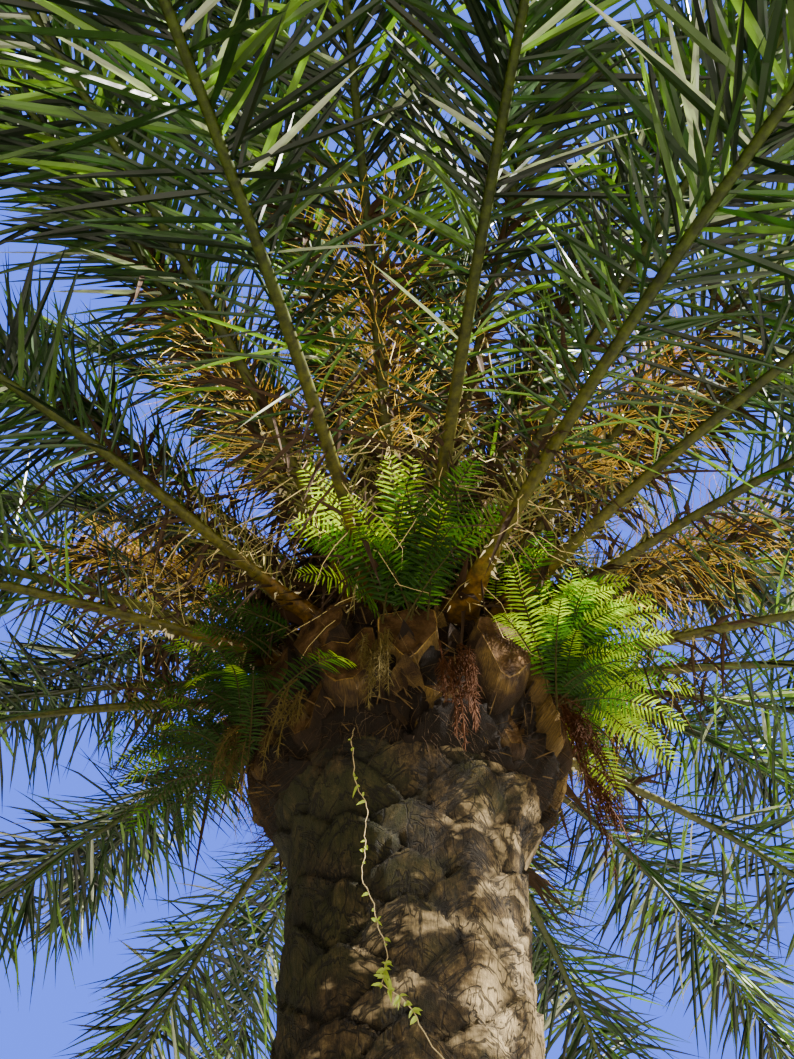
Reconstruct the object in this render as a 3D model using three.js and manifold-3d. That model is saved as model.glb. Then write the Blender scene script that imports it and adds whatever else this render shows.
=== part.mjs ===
// A date palm as it stands rooted in the ground: one unbranched trunk, a bulb of cut leaf bases,
// a round crown of feather-shaped fronds in a golden-angle spiral, fruit stalks between them, and
// the sword ferns that grow on the cut leaf bases.
// Millimetres, +Z up, origin on the ground at the middle of the trunk's flat cut.

import * as THREE from "three";
import { mergeVertices } from "three/addons/utils/BufferGeometryUtils.js";
import Module from "manifold-3d";

const wasm = await Module();
wasm.setup();

// The clearance between pieces that meet.
const GAP = 0.3;

// The stem leans slightly towards +X, and a thinner core runs on through the bulb to the tip.
const TRUNK = {
  columns: 14,
  radius: 400,
  neckRadius: 418,
  flareRadius: 570,
  flareHeight: 520,
  neckHeight: 3270,
  coreRadius: 300,
  tipRadius: 120,
  tipHeight: 4190,
  lean: 0.012,
};
const SCARS = { rowHeight: 204, depth: 15 };

// The bulb of old leaf bases: radius and height of its outline, from the foot up to the tip.
const BULB = {
  sides: 14,
  outline: [
    [455, TRUNK.neckHeight + GAP],
    [538, 3400],
    [556, 3560],
    [522, 3790],
    [340, 4030],
    [150, 4170],
  ],
};

// The spiral that places every leaf base, from the youngest leaf at the tip down to the lowest stub.
const SPIRAL = { turn: 137.508, phase: 297.3, hand: -1 };
const CROWN = {
  fronds: 58,
  spears: 13,
  innerBase: { radius: 60, height: 4250 },
  rimBase: { radius: 500, height: 3850 },
  lift: { young: 4, old: 90, power: 0.765 },
  tilt: { young: 30, old: 138, power: 0.573, sway: 10 },
  bend: 1.25,
  length: { young: 3100, old: 4250, sway: 0.08 },
  swerve: 9,
  spreadAge: 0.45,
};
const RIB = {
  baseWidth: 132,
  baseThickness: 58,
  neckWidth: 74,
  neckThickness: 50,
  tipWidth: 9,
  tipThickness: 9,
  neckAt: 0.12,
  bareTo: 0.17,
  youngScale: 0.62,
};
const SEAT = { depth: 60, length: 70, slack: 0.05 };
const LEAFLETS = { pairs: 16, spearPairs: 6, longest: 540, shortest: 190, rise: 24, dip: -10 };
const STUBS = {
  count: 27,
  top: 3770,
  foot: 3350,
  topLift: 62,
  footLift: 46,
  width: 250,
  thickness: 136,
  depth: 90,
  proud: 96,
  taper: 0.82,
};

// The spear leaves stand on a hub at the trunk's tip.
const HUB = {
  sides: 10,
  height: 150,
  foot: 128,
  top: 84,
  innerBase: { radius: 18, above: 120 },
  outerBase: { radius: 96, above: 62 },
  sink: 45,
};

// A fruit stalk grows in the axil of each of the eight leaves from firstAxil on.
const FRUIT = {
  stalks: 8,
  firstAxil: 26,
  above: 4.2,
  length: 1500,
  droop: 14,
  bareTo: 0.55,
  strand: 330,
  pairs: 7,
  width: 46,
  thickness: 24,
  tip: 12,
};

// Each fern stands on the cut face of one stub, and its fans rise at about lift degrees from upright.
const FERNS = [
  { name: "fern_front", stub: 7, reach: 680, lift: 22 },
  { name: "fern_front_right", stub: 12, reach: 620, lift: 30 },
  { name: "fern_left", stub: 10, reach: 640, lift: 52 },
  { name: "fern_right", stub: 9, reach: 680, lift: 50 },
];
const FERN = {
  fans: 5,
  pairs: 5,
  leaflet: 112,
  width: 11,
  thickness: 9,
  spread: 190,
  droop: 74,
  sink: 25,
  tries: 80,
  hub: { width: 96, thickness: 46, height: 56, above: 14 },
};

const FINISH = {
  bark: { color: 0x6f6350, roughness: 0.95 },
  leafBase: { color: 0x7a6340, roughness: 0.9 },
  leaf: { color: 0x4a6330, roughness: 0.6 },
  fruit: { color: 0xb9722a, roughness: 0.7 },
  fern: { color: 0x8fbf30, roughness: 0.7 },
};

const radians = THREE.MathUtils.degToRad;
const mix = THREE.MathUtils.lerp;
const UP = new THREE.Vector3(0, 0, 1);

// A repeatable number from 0 to 1 for item n and a property's own salt.
function chance(n, salt) {
  const x = Math.sin(n * 12.9898 + salt * 78.233) * 43758.5453;
  return x - Math.floor(x);
}

// The stem's middle line at a height.
function stemAt(height) {
  return new THREE.Vector3(TRUNK.lean * height, 0, height);
}

// Azimuth 0 is the front of the palm, towards -Y, and a quarter turn points to the right, +X.
function outward(azimuth) {
  return new THREE.Vector3(Math.sin(azimuth), -Math.cos(azimuth), 0);
}

// A level ring of points round the stem.
function ringAround(height, sides, radiusAt) {
  return Array.from({ length: sides }, (_, j) =>
    outward((j / sides) * 2 * Math.PI)
      .multiplyScalar(radiusAt(j))
      .add(stemAt(height)),
  );
}

function geometryOf(points, faces) {
  const places = points.flatMap((point) => point.toArray());
  const geometry = new THREE.BufferGeometry();
  geometry.setAttribute("position", new THREE.Float32BufferAttribute(places, 3));
  geometry.setIndex(faces.flat());
  return geometry;
}

// A closed skin over rings that run anticlockwise as seen from the last one, with flat ends. A
// quilted skin has its creases run from one raised point to the next, both ways.
function skinOver(rings, quilted = false) {
  const sides = rings[0].length;
  const faces = [];
  for (let i = 0; i < rings.length - 1; i++) {
    for (let j = 0; j < sides; j++) {
      const a = i * sides + j;
      const b = i * sides + ((j + 1) % sides);
      if (quilted && (i + j) % 2) {
        faces.push([a, b, b + sides], [a, b + sides, a + sides]);
      } else {
        faces.push([a, b, a + sides], [b, b + sides, a + sides]);
      }
    }
  }
  const top = (rings.length - 1) * sides;
  for (let j = 1; j < sides - 1; j++) {
    faces.push([0, j + 1, j], [top, top + j, top + j + 1]);
  }
  return geometryOf(rings.flat(), faces);
}

function solidOf(geometry) {
  const bare = geometry.clone();
  bare.deleteAttribute("normal");
  bare.deleteAttribute("uv");
  const merged = mergeVertices(bare, 1e-3);
  return new wasm.Manifold(
    new wasm.Mesh({
      numProp: 3,
      vertProperties: new Float32Array(merged.attributes.position.array),
      triVerts: new Uint32Array(merged.index.array),
    }),
  );
}

function geometryFrom(solid) {
  const mesh = solid.getMesh();
  const geometry = new THREE.BufferGeometry();
  geometry.setAttribute("position", new THREE.Float32BufferAttribute(mesh.vertProperties, 3));
  geometry.setIndex(new THREE.BufferAttribute(mesh.triVerts, 1));
  return geometry;
}

function meshOf(name, geometry, finish) {
  geometry.computeVertexNormals();
  const mesh = new THREE.Mesh(geometry, new THREE.MeshStandardMaterial({ ...finish, metalness: 0 }));
  mesh.name = name;
  return mesh;
}

// The trunk: flared at the root, nearly straight, quilted with a lozenge for each leaf scar.
function trunkGeometry() {
  const rows = Math.round(TRUNK.neckHeight / SCARS.rowHeight);
  const rings = [];
  for (let i = 0; i <= rows; i++) {
    const height = (TRUNK.neckHeight * i) / rows;
    const flare = Math.max(0, 1 - height / TRUNK.flareHeight) ** 2;
    const plain = mix(TRUNK.radius, TRUNK.neckRadius, (height / TRUNK.neckHeight) ** 3);
    const radius = plain + flare * (TRUNK.flareRadius - TRUNK.radius);
    const relief = i === 0 || i === rows ? 0 : SCARS.depth;
    rings.push(ringAround(height, TRUNK.columns, (j) => radius + ((i + j) % 2 ? relief : -relief)));
  }
  rings.push(ringAround(TRUNK.neckHeight, TRUNK.columns, () => TRUNK.coreRadius));
  rings.push(ringAround(TRUNK.tipHeight, TRUNK.columns, () => TRUNK.tipRadius));
  return skinOver(rings, true);
}

// The hole in the bulb for the trunk's core.
function coreHole() {
  const slope = (TRUNK.tipRadius - TRUNK.coreRadius) / (TRUNK.tipHeight - TRUNK.neckHeight);
  const beyond = 60;
  const rings = [TRUNK.neckHeight - beyond, TRUNK.tipHeight + beyond].map((height) => {
    const radius = TRUNK.coreRadius + slope * (height - TRUNK.neckHeight) + 1.5 * GAP;
    return ringAround(height, TRUNK.columns, () => radius);
  });
  return solidOf(skinOver(rings));
}

// The bulb's outer radius at a height.
function bulbRadius(height) {
  const next = Math.max(1, BULB.outline.findIndex((point) => height <= point[1]));
  const [[lowRadius, low], [highRadius, high]] = BULB.outline.slice(next - 1, next + 1);
  return mix(lowRadius, highRadius, (height - low) / (high - low));
}

function bulbBody() {
  const rings = BULB.outline.map(([radius, height]) => ringAround(height, BULB.sides, () => radius));
  return solidOf(skinOver(rings));
}

// Where leaf k of the spiral springs from and which way it goes. Its age is 0 at the tip of the
// palm and 1 at the crown's rim.
function leafRule(k) {
  const age = (k + 0.5) / CROWN.fronds;
  const azimuth = radians(SPIRAL.phase + SPIRAL.hand * SPIRAL.turn * k);
  const sway = chance(k, 1) - 0.5;
  const { innerBase, rimBase, lift, tilt, length } = CROWN;
  const spear = k < CROWN.spears;
  let radius = mix(innerBase.radius, rimBase.radius, age ** 0.75);
  let height = mix(innerBase.height, rimBase.height, age ** 1.3);
  if (spear) {
    const out = k / (CROWN.spears - 1);
    radius = mix(HUB.innerBase.radius, HUB.outerBase.radius, out);
    height = TRUNK.tipHeight + mix(HUB.innerBase.above, HUB.outerBase.above, out);
  }
  return {
    k,
    age,
    spear,
    azimuth,
    origin: outward(azimuth).multiplyScalar(radius).add(stemAt(height)),
    lift: radians(mix(lift.young, lift.old, age ** lift.power)),
    tilt: radians(mix(tilt.young, tilt.old, age ** tilt.power) + tilt.sway * sway),
    length:
      mix(length.young, length.old, Math.min(1, age / CROWN.spreadAge)) * (1 + length.sway * sway),
    swerve: radians(CROWN.swerve) * (chance(k, 2) - 0.5),
  };
}

// Stations along an arched rib at shares of its length, each with its place, its own directions
// and the section that sizeAt gives. A share below 0 lies behind the origin, on the same line.
function arch(rule, shares, sizeAt) {
  const step = 1 / 48;
  const headingAt = (share) => {
    const bow = mix(rule.lift, rule.tilt, Math.max(0, share) ** CROWN.bend);
    const azimuth = rule.azimuth + (rule.swerve ?? 0) * share * share;
    return outward(azimuth).multiplyScalar(Math.sin(bow)).addScaledVector(UP, Math.cos(bow));
  };
  let walked = Math.min(0, shares[0]);
  const place = rule.origin.clone().addScaledVector(headingAt(0), walked * rule.length);
  return shares.map((share) => {
    while (walked < share) {
      const stride = Math.min(step, share - walked);
      place.addScaledVector(headingAt(walked + stride / 2), stride * rule.length);
      walked = share - walked <= step ? share : walked + stride;
    }
    const along = headingAt(share);
    const side = new THREE.Vector3().crossVectors(along, UP).normalize();
    const over = new THREE.Vector3().crossVectors(side, along).normalize();
    return { place: place.clone(), along, side, over, ...sizeAt(share) };
  });
}

// The corners of a rib's section: over left, over right, under right, under left.
function corners(spot) {
  const signs = [
    [-1, 1],
    [1, 1],
    [1, -1],
    [-1, -1],
  ];
  return signs.map(([across, up]) =>
    spot.place
      .clone()
      .addScaledVector(spot.side, (across * spot.width) / 2)
      .addScaledVector(spot.over, (up * spot.thickness) / 2),
  );
}

function bladeTip(blade) {
  return blade.root.clone().addScaledVector(blade.direction, blade.length * blade.reach);
}

// A plume: a rib with pointed blades side by side along both edges, cut to the rib between them,
// and a pointed end.
function plumeGeometry({ spots, blades }) {
  const points = spots.flatMap(corners);
  const faces = [
    [0, 2, 1],
    [0, 3, 2],
  ];
  for (let i = 0; i < spots.length - 1; i++) {
    const a = 4 * i;
    const b = a + 4;
    faces.push([a, a + 1, b + 1], [a, b + 1, b]);
    faces.push([a + 3, b + 2, a + 2], [a + 3, b + 3, b + 2]);
    for (const hand of [-1, 1]) {
      const edge = hand > 0 ? [a + 1, a + 2, b + 2, b + 1] : [a, b, b + 3, a + 3];
      const blade = blades.find((one) => one.segment === i && one.hand === hand && one.reach > 0);
      if (blade) {
        const tip = points.push(bladeTip(blade)) - 1;
        edge.forEach((corner, j) => faces.push([corner, edge[(j + 1) % 4], tip]));
      } else {
        faces.push([edge[0], edge[1], edge[2]], [edge[0], edge[2], edge[3]]);
      }
    }
  }
  const end = spots[spots.length - 1];
  const last = 4 * (spots.length - 1);
  const tip = points.push(end.place.clone().addScaledVector(end.along, 6 * end.width)) - 1;
  for (let j = 0; j < 4; j++) {
    faces.push([last + j, last + ((j + 1) % 4), tip]);
  }
  return geometryOf(points, faces);
}

// One blade alone on its four corners of the rib, for testing what it meets.
function bladeCorners(spots, blade) {
  const near = corners(spots[blade.segment]);
  const far = corners(spots[blade.segment + 1]);
  const edge =
    blade.hand > 0 ? [near[1], near[2], far[2], far[1]] : [near[0], far[0], far[3], near[3]];
  return [...edge, bladeTip(blade)];
}

function bladeSolid(points) {
  const faces = [
    [0, 2, 1],
    [0, 3, 2],
    [0, 1, 4],
    [1, 2, 4],
    [2, 3, 4],
    [3, 0, 4],
  ];
  return solidOf(geometryOf(points, faces));
}

// Blades on both edges of each segment from the first leafy one to the end.
function bladesAlong(spots, firstLeafy, shape) {
  const blades = [];
  for (let i = firstLeafy; i < spots.length - 1; i++) {
    const share = (i - firstLeafy + 0.5) / (spots.length - 1 - firstLeafy);
    const near = spots[i];
    const far = spots[i + 1];
    for (const hand of [-1, 1]) {
      const { length, sweep, rise } = shape(share, i, hand);
      const direction = near.along
        .clone()
        .multiplyScalar(Math.cos(sweep))
        .addScaledVector(near.side, hand * Math.sin(sweep) * Math.cos(rise))
        .addScaledVector(near.over, Math.sin(sweep) * Math.sin(rise));
      const root = near.place
        .clone()
        .lerp(far.place, 0.5)
        .addScaledVector(near.side, (hand * (near.width + far.width)) / 4);
      blades.push({ segment: i, hand, root, direction, length, reach: 1 });
    }
  }
  return blades;
}

// Shares of a rib's length: the given bare ones, then equal steps to its end.
function sharesOf(bare, pairs) {
  const from = bare[bare.length - 1];
  return [...bare, ...Array.from({ length: pairs }, (_, i) => mix(from, 1, (i + 1) / pairs))];
}

// A frond: a broad flat foot, a bare stalk and a long leafy rib. Young ones are still folded.
function frondPlume(k) {
  const rule = leafRule(k);
  const { neckAt, bareTo } = RIB;
  const young = Math.max(0, 1 - rule.age / CROWN.spreadAge);
  const scale = mix(1, RIB.youngScale, young);
  const foot = (rule.spear ? -HUB.sink : SEAT.length) / rule.length;
  const shares = sharesOf(
    [foot, neckAt / 2, neckAt, bareTo],
    rule.spear ? LEAFLETS.spearPairs : LEAFLETS.pairs,
  );
  const sizeAt = (share) => {
    const toNeck = Math.min(1, Math.max(0, share) / neckAt) ** 0.7;
    const toTip = Math.max(0, (share - neckAt) / (1 - neckAt)) ** 0.8;
    const width = mix(mix(RIB.baseWidth, RIB.neckWidth, toNeck), RIB.tipWidth, toTip);
    const thickness = mix(
      mix(RIB.baseThickness, RIB.neckThickness, toNeck),
      RIB.tipThickness,
      toTip,
    );
    return { width: scale * width, thickness: scale * thickness };
  };
  const spots = arch(rule, shares, sizeAt);
  if (!rule.spear) {
    spots[0].place.addScaledVector(spots[0].along, GAP);
  }
  const blades = bladesAlong(spots, 3, (share, i, hand) => ({
    length:
      mix(LEAFLETS.shortest, LEAFLETS.longest, Math.sin(Math.PI * (0.12 + 0.86 * share)) ** 0.55) *
      mix(1, 0.75, young),
    sweep: radians(mix(66, 32, share)) * mix(1, 0.45, young),
    rise: radians((i + (hand > 0 ? 1 : 0)) % 2 ? LEAFLETS.rise : LEAFLETS.dip),
  }));
  const name = `frond_${String(k + 1).padStart(2, "0")}`;
  return { name, group: rule.spear ? "spear_leaves" : name, rule, spots, blades };
}

// The short block on the bulb that a frond or a fruit stalk is seated on.
function seatOf({ rule, spots }) {
  const { width, thickness } = spots[0];
  const shares = [-SEAT.depth / rule.length, SEAT.length / rule.length];
  return solidOf(skinOver(arch(rule, shares, () => ({ width, thickness })).map(corners)));
}

// Where stub n of the bulb stands. The stubs carry the leaves' spiral on downwards.
function stubRule(n) {
  const down = (n + 0.5) / STUBS.count;
  const height = mix(STUBS.top, STUBS.foot, down);
  const azimuth = radians(SPIRAL.phase + SPIRAL.hand * SPIRAL.turn * (CROWN.fronds + n));
  const origin = outward(azimuth).multiplyScalar(bulbRadius(height)).add(stemAt(height));
  const lift = radians(mix(STUBS.topLift, STUBS.footLift, down));
  return { azimuth, origin, lift, proud: STUBS.proud * (0.6 + 0.7 * chance(n, 3)) };
}

// A cut leaf base: a keeled block that points up and out, sawn off upright so that its cut face
// looks straight out from the stem.
function stubSolid(n) {
  const { azimuth, origin, lift, proud } = stubRule(n);
  const out = outward(azimuth);
  const along = out.clone().multiplyScalar(Math.sin(lift)).addScaledVector(UP, Math.cos(lift));
  const side = new THREE.Vector3().crossVectors(out, UP);
  const over = new THREE.Vector3().crossVectors(side, along);
  const rings = [1, STUBS.taper].map((scale, end) => {
    const wide = (scale * STUBS.width) / 2;
    const tall = (scale * STUBS.thickness) / 2;
    const section = [
      [-wide, tall],
      [wide, tall],
      [wide, 0],
      [0, -tall],
      [-wide, 0],
    ];
    return section.map(([across, up]) => {
      const walked = end ? (proud + up * Math.cos(lift)) / Math.sin(lift) : -STUBS.depth;
      return origin
        .clone()
        .addScaledVector(along, walked)
        .addScaledVector(side, across)
        .addScaledVector(over, up);
    });
  });
  return solidOf(skinOver(rings));
}

// A fruit stalk: a flat bare stem out of a leaf's axil, with a brush of strands at its end.
function fruitPlume(index) {
  const k = FRUIT.firstAxil + index;
  const leaf = leafRule(k);
  const axil = leafRule(k - FRUIT.above);
  const reachOut = new THREE.Vector3().subVectors(axil.origin, stemAt(axil.origin.z));
  const rule = {
    azimuth: leaf.azimuth,
    origin: outward(leaf.azimuth).multiplyScalar(reachOut.length()).add(stemAt(axil.origin.z)),
    lift: axil.lift,
    tilt: leaf.lift + radians(FRUIT.droop),
    length: FRUIT.length,
  };
  const shares = sharesOf([SEAT.length / rule.length, FRUIT.bareTo / 2, FRUIT.bareTo], FRUIT.pairs);
  const spots = arch(rule, shares, (share) => ({
    width: mix(FRUIT.width, FRUIT.tip, share),
    thickness: mix(FRUIT.thickness, FRUIT.tip, share),
  }));
  spots[0].place.addScaledVector(spots[0].along, GAP);
  const blades = bladesAlong(spots, 2, (share, i, hand) => ({
    length: FRUIT.strand * (0.8 + 0.4 * chance(i, index + hand)),
    sweep: radians(38),
    rise: radians(i % 2 ? 55 : -60),
  }));
  const name = `fruit_stalk_${index + 1}`;
  return { name, group: name, rule, spots, blades };
}

// The stock of a fern, a block that stands out from the cut face of its stub.
function fernStock(fern) {
  const { azimuth, origin, lift, proud } = stubRule(fern.stub);
  const level = { azimuth, lift: Math.PI / 2, tilt: Math.PI / 2, length: 1 };
  const rise = proud / Math.tan(lift) + FERN.hub.above;
  const middle = origin.clone().addScaledVector(UP, rise);
  return arch({ ...level, origin: middle }, [proud + GAP, proud + FERN.hub.height], () => FERN.hub);
}

// One fan of a fern: a thin arched rib with close-set leaflets, turned by a try's own small swing.
function fernFan(fern, index, attempt) {
  const stub = stubRule(fern.stub);
  const top = fernStock(fern)[1];
  const salt = fern.stub + attempt;
  const swing = 60 * (attempt / FERN.tries) * (chance(index, salt) - 0.5);
  const lift = fern.lift + 30 * (chance(index, salt + 1) - 0.5) * (1 + attempt / FERN.tries);
  const rule = {
    azimuth: stub.azimuth + radians(FERN.spread * (index / (FERN.fans - 1) - 0.5) + swing),
    origin: top.place.clone().addScaledVector(top.along, -FERN.sink),
    lift: radians(lift),
    tilt: radians(lift + FERN.droop),
    length: fern.reach * (0.85 + 0.3 * chance(index, fern.stub)),
  };
  const spots = arch(rule, sharesOf([0, 0.16], FERN.pairs), (share) => ({
    width: mix(FERN.width, 5, share),
    thickness: mix(FERN.thickness, 5, share),
  }));
  const blades = bladesAlong(spots, 1, (share) => ({
    length: FERN.leaflet * Math.sin(Math.PI * (0.2 + 0.75 * share)) ** 0.6,
    sweep: radians(mix(80, 60, share)),
    rise: radians(6),
  }));
  return { name: fern.name, group: fern.name, rule, spots, blades };
}

function boxed(solid, group) {
  const { min, max } = solid.boundingBox();
  return { solid, group, box: new THREE.Box3(new THREE.Vector3(...min), new THREE.Vector3(...max)) };
}

function meets(a, b) {
  return a.group !== b.group && a.box.intersectsBox(b.box) && a.solid.intersect(b.solid).volume() > 0;
}

const ribOf = (plume) => boxed(solidOf(plumeGeometry({ ...plume, blades: [] })), plume.group);

// Shortens each blade until it meets nothing of another node, and drops one that can't clear.
function fitBlades(plume, taken) {
  for (const blade of plume.blades) {
    for (let tries = 9; tries > 0; tries--) {
      const one = boxed(bladeSolid(bladeCorners(plume.spots, blade)), plume.group);
      if (!taken.some((other) => meets(one, other))) {
        taken.push(one);
        break;
      }
      blade.reach = tries > 1 ? blade.reach * 0.8 : 0;
    }
  }
}

// The first swing of a fan whose rib clears everything.
function placeFan(fern, index, taken) {
  for (let attempt = 0; attempt < FERN.tries; attempt++) {
    const fan = fernFan(fern, index, attempt);
    const rib = ribOf(fan);
    if (!taken.some((other) => meets(rib, other))) {
      taken.push(rib);
      return [fan];
    }
  }
  return [];
}

const fronds = Array.from({ length: CROWN.fronds }, (_, k) => frondPlume(k));
const spears = fronds.filter((plume) => plume.rule.spear);
const openFronds = fronds.filter((plume) => !plume.rule.spear);
const stalks = Array.from({ length: FRUIT.stalks }, (_, index) => fruitPlume(index));

const bulb = wasm.Manifold.union([
  bulbBody(),
  ...Array.from({ length: STUBS.count }, (_, n) => stubSolid(n)),
  ...[...openFronds, ...stalks].map(seatOf),
]).subtract(coreHole()).simplify(SEAT.slack);

const hubRings = [
  ringAround(TRUNK.tipHeight + GAP, HUB.sides, () => HUB.foot),
  ringAround(TRUNK.tipHeight + HUB.height, HUB.sides, () => HUB.top),
];
const hub = solidOf(skinOver(hubRings));
const stocks = FERNS.map((fern) => solidOf(skinOver(fernStock(fern).map(corners))));

// What every blade and fan has to clear: all that is placed before it in another node.
const taken = [
  boxed(bulb, "leaf_base_bulb"),
  boxed(solidOf(trunkGeometry()), "trunk"),
  boxed(hub, "spear_leaves"),
  ...stocks.map((stock, i) => boxed(stock, FERNS[i].name)),
  ...[...fronds, ...stalks].map(ribOf),
];
for (const plume of [...openFronds].reverse()) {
  fitBlades(plume, taken);
}
for (const plume of [...stalks, ...[...spears].reverse()]) {
  fitBlades(plume, taken);
}
const fans = FERNS.map((fern) =>
  Array.from({ length: FERN.fans }, (_, index) => placeFan(fern, index, taken)).flat(),
);
fans.flat().forEach((fan) => fitBlades(fan, taken));

const plumeSolid = (plume) => solidOf(plumeGeometry(plume));

const palm = new THREE.Group();
palm.add(meshOf("trunk", trunkGeometry(), FINISH.bark));
palm.add(meshOf("leaf_base_bulb", geometryFrom(bulb), FINISH.leafBase));
const heart = wasm.Manifold.union([hub, ...spears.map(plumeSolid)]);
palm.add(meshOf("spear_leaves", geometryFrom(heart), FINISH.leaf));
for (const plume of openFronds) {
  palm.add(meshOf(plume.name, plumeGeometry(plume), FINISH.leaf));
}
for (const plume of stalks) {
  palm.add(meshOf(plume.name, plumeGeometry(plume), FINISH.fruit));
}
FERNS.forEach((fern, i) => {
  const clump = wasm.Manifold.union([stocks[i], ...fans[i].map(plumeSolid)]);
  palm.add(meshOf(fern.name, geometryFrom(clump), FINISH.fern));
});

export default palm;
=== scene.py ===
"""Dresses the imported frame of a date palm: scarred bark, sawn leaf bases, feather fronds, fruit
strands and sword ferns, on a plain stage in soft light. Metres, +Z up, front towards -Y."""

from math import cos, pi, radians, sin

import bpy
import numpy as np
from bpy.props import FloatProperty, IntProperty, PointerProperty, StringProperty
from bpy.types import Operator, Panel, PropertyGroup
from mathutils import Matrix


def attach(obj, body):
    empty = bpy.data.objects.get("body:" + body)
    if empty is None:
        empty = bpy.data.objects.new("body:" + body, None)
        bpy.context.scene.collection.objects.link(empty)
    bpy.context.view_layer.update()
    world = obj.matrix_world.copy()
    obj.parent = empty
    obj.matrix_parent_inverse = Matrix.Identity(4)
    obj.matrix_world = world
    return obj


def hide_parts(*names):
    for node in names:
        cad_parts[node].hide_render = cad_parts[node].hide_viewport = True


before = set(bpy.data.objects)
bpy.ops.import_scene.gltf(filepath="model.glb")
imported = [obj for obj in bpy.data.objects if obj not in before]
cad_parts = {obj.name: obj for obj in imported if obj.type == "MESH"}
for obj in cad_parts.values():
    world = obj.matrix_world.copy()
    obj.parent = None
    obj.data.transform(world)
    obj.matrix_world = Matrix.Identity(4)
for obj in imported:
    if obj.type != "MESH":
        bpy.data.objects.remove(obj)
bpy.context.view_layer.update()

bl_info = {
    "name": "Date Palm",
    "version": (1, 0, 0),
    "blender": (4, 5, 0),
    "location": "View3D > Sidebar > Date Palm",
    "description": "Builds bark, leaf bases, fronds, fruit strands and ferns round a palm's frame",
    "category": "Object",
}

UP = np.array([0.0, 0.0, 1.0])

# The same named sizes as the frame's source, in metres and degrees.
NECK_HEIGHT = 3.27
STEM_RADIUS, NECK_RADIUS = 0.40, 0.418
FLARE_RADIUS, FLARE_HEIGHT = 0.57, 0.52
LEAN = 0.012
BULB_OUTLINE = np.array([
    (0.455, 3.27), (0.538, 3.40), (0.556, 3.56), (0.522, 3.79), (0.340, 4.03), (0.150, 4.17),
])
TURN, PHASE = -137.508, 297.3
FRONDS, SPEARS = 58, 13
SPREAD_AGE = 0.45
BARE_TO, NECK_AT = 0.17, 0.12
STUBS = 27
STALKS, FIRST_AXIL, AXIL_ABOVE = 8, 26, 4.2
# A clump's shade is how much painted shade its pinnae take.
CLUMP_FIELDS = ("stub", "fans", "reach", "lift", "droop", "swing", "spread", "shade", "turn", "raised")
FERN_CLUMPS = {name: dict(zip(CLUMP_FIELDS, values)) for name, values in {
    "fern_front": (7, 22, 0.60, 38, 52, 196, 0.10, 0.40, -1, 0.04),
    "fern_front_right": (12, 24, 0.44, 50, 60, 150, 0.12, 0.25, 24, 0.0),
    "fern_left": (10, 46, 0.46, 62, 66, 200, 0.34, 0.80, -12, 0.06),
    "fern_right": (9, 56, 0.50, 44, 68, 200, 0.30, 0.22, -24, 0.13),
}.items()}

FROND_NODES = [f"frond_{k + 1:02d}" for k in range(SPEARS, FRONDS)] + ["spear_leaves"]
STALK_NODES = [f"fruit_stalk_{i + 1}" for i in range(STALKS)]

# The bark lies this far inside the frame's trunk, and the bulb's body inside the frame's bulb.
BARK_INSET, BODY_INSET = 0.038, 0.035
BARK_TOP, BODY_FOOT, BODY_TOP = 3.40, 3.262, 4.16
BARK_GRID, BODY_GRID = (200, 330), (220, 110)
# A fern frond this long has the longest pinnae.
FULL_FERN = 0.62
# The stem swells by this much where it runs into the bulb, from a height and over a height.
SWELL, SWELL_FROM, SWELL_OVER = 0.080, 3.10, 0.22
# An arched rib is walked in this many strides.
ARCH_STRIDES = 240


# Numbers and arrays

def mix(low, high, share):
    return low + (high - low) * share


def chance(n, salt):
    """A repeatable number from 0 to 1 for item n and a property's own salt."""
    x = np.sin(np.asarray(n, float) * 12.9898 + salt * 78.233) * 43758.5453
    return x - np.floor(x)


def chances(n, salt, count):
    """Several repeatable numbers for item n, from a first salt on."""
    return [float(chance(n, salt + i)) for i in range(count)]


def unit(vectors):
    return vectors / np.linalg.norm(vectors, axis=-1, keepdims=True)


def smooth(share):
    share = np.clip(share, 0, 1)
    return share * share * (3 - 2 * share)


def hands(n):
    """1 for odd items and -1 for even ones, as a column: the two sides of a rib."""
    return np.where(n % 2, 1.0, -1.0)[:, None]


def outward(azimuth):
    """Level direction from the stem: azimuth 0 is the front, -Y, a quarter turn the right, +X."""
    azimuth = np.asarray(azimuth, float)
    return np.stack([np.sin(azimuth), -np.cos(azimuth), np.zeros_like(azimuth)], axis=-1)


def stem_at(height):
    height = np.asarray(height, float)
    return np.stack([LEAN * height, np.zeros_like(height), height], axis=-1)


def beside_stem(azimuth, radius, height):
    """Places at a distance from the stem's middle, level with their heights."""
    return outward(azimuth) * np.asarray(radius)[..., None] + stem_at(height)


def leant(one, other, angles):
    """Directions turned from one way towards another at a right angle to it."""
    angles = np.asarray(angles)[..., None]
    return one * np.cos(angles) + other * np.sin(angles)


def bark_radius(height):
    """The stem's radius without its relief: wide at the ground and where it runs into the bulb."""
    flare = np.maximum(0, 1 - height / FLARE_HEIGHT) ** 2 * (FLARE_RADIUS - STEM_RADIUS)
    plain = mix(STEM_RADIUS, NECK_RADIUS, (height / NECK_HEIGHT) ** 3) - BARK_INSET
    return plain + flare + SWELL * smooth((height - SWELL_FROM) / SWELL_OVER)


def bulb_radius(height):
    return np.interp(height, BULB_OUTLINE[:, 1], BULB_OUTLINE[:, 0])


def patches(turns, height, cells, cell_height, salt):
    """Soft lumps from 0 to 1 that close round the stem: cells round it, turns from 0 to 1."""
    x, y = turns * cells, height / cell_height
    column, row = np.floor(x), np.floor(y)
    u, v = smooth(x - column), smooth(y - row)

    def corner(across, above):
        return chance((column + across) % cells + 131.7 * (row + above), salt)

    return mix(mix(corner(0, 0), corner(1, 0), u), mix(corner(0, 1), corner(1, 1), u), v)


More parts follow.
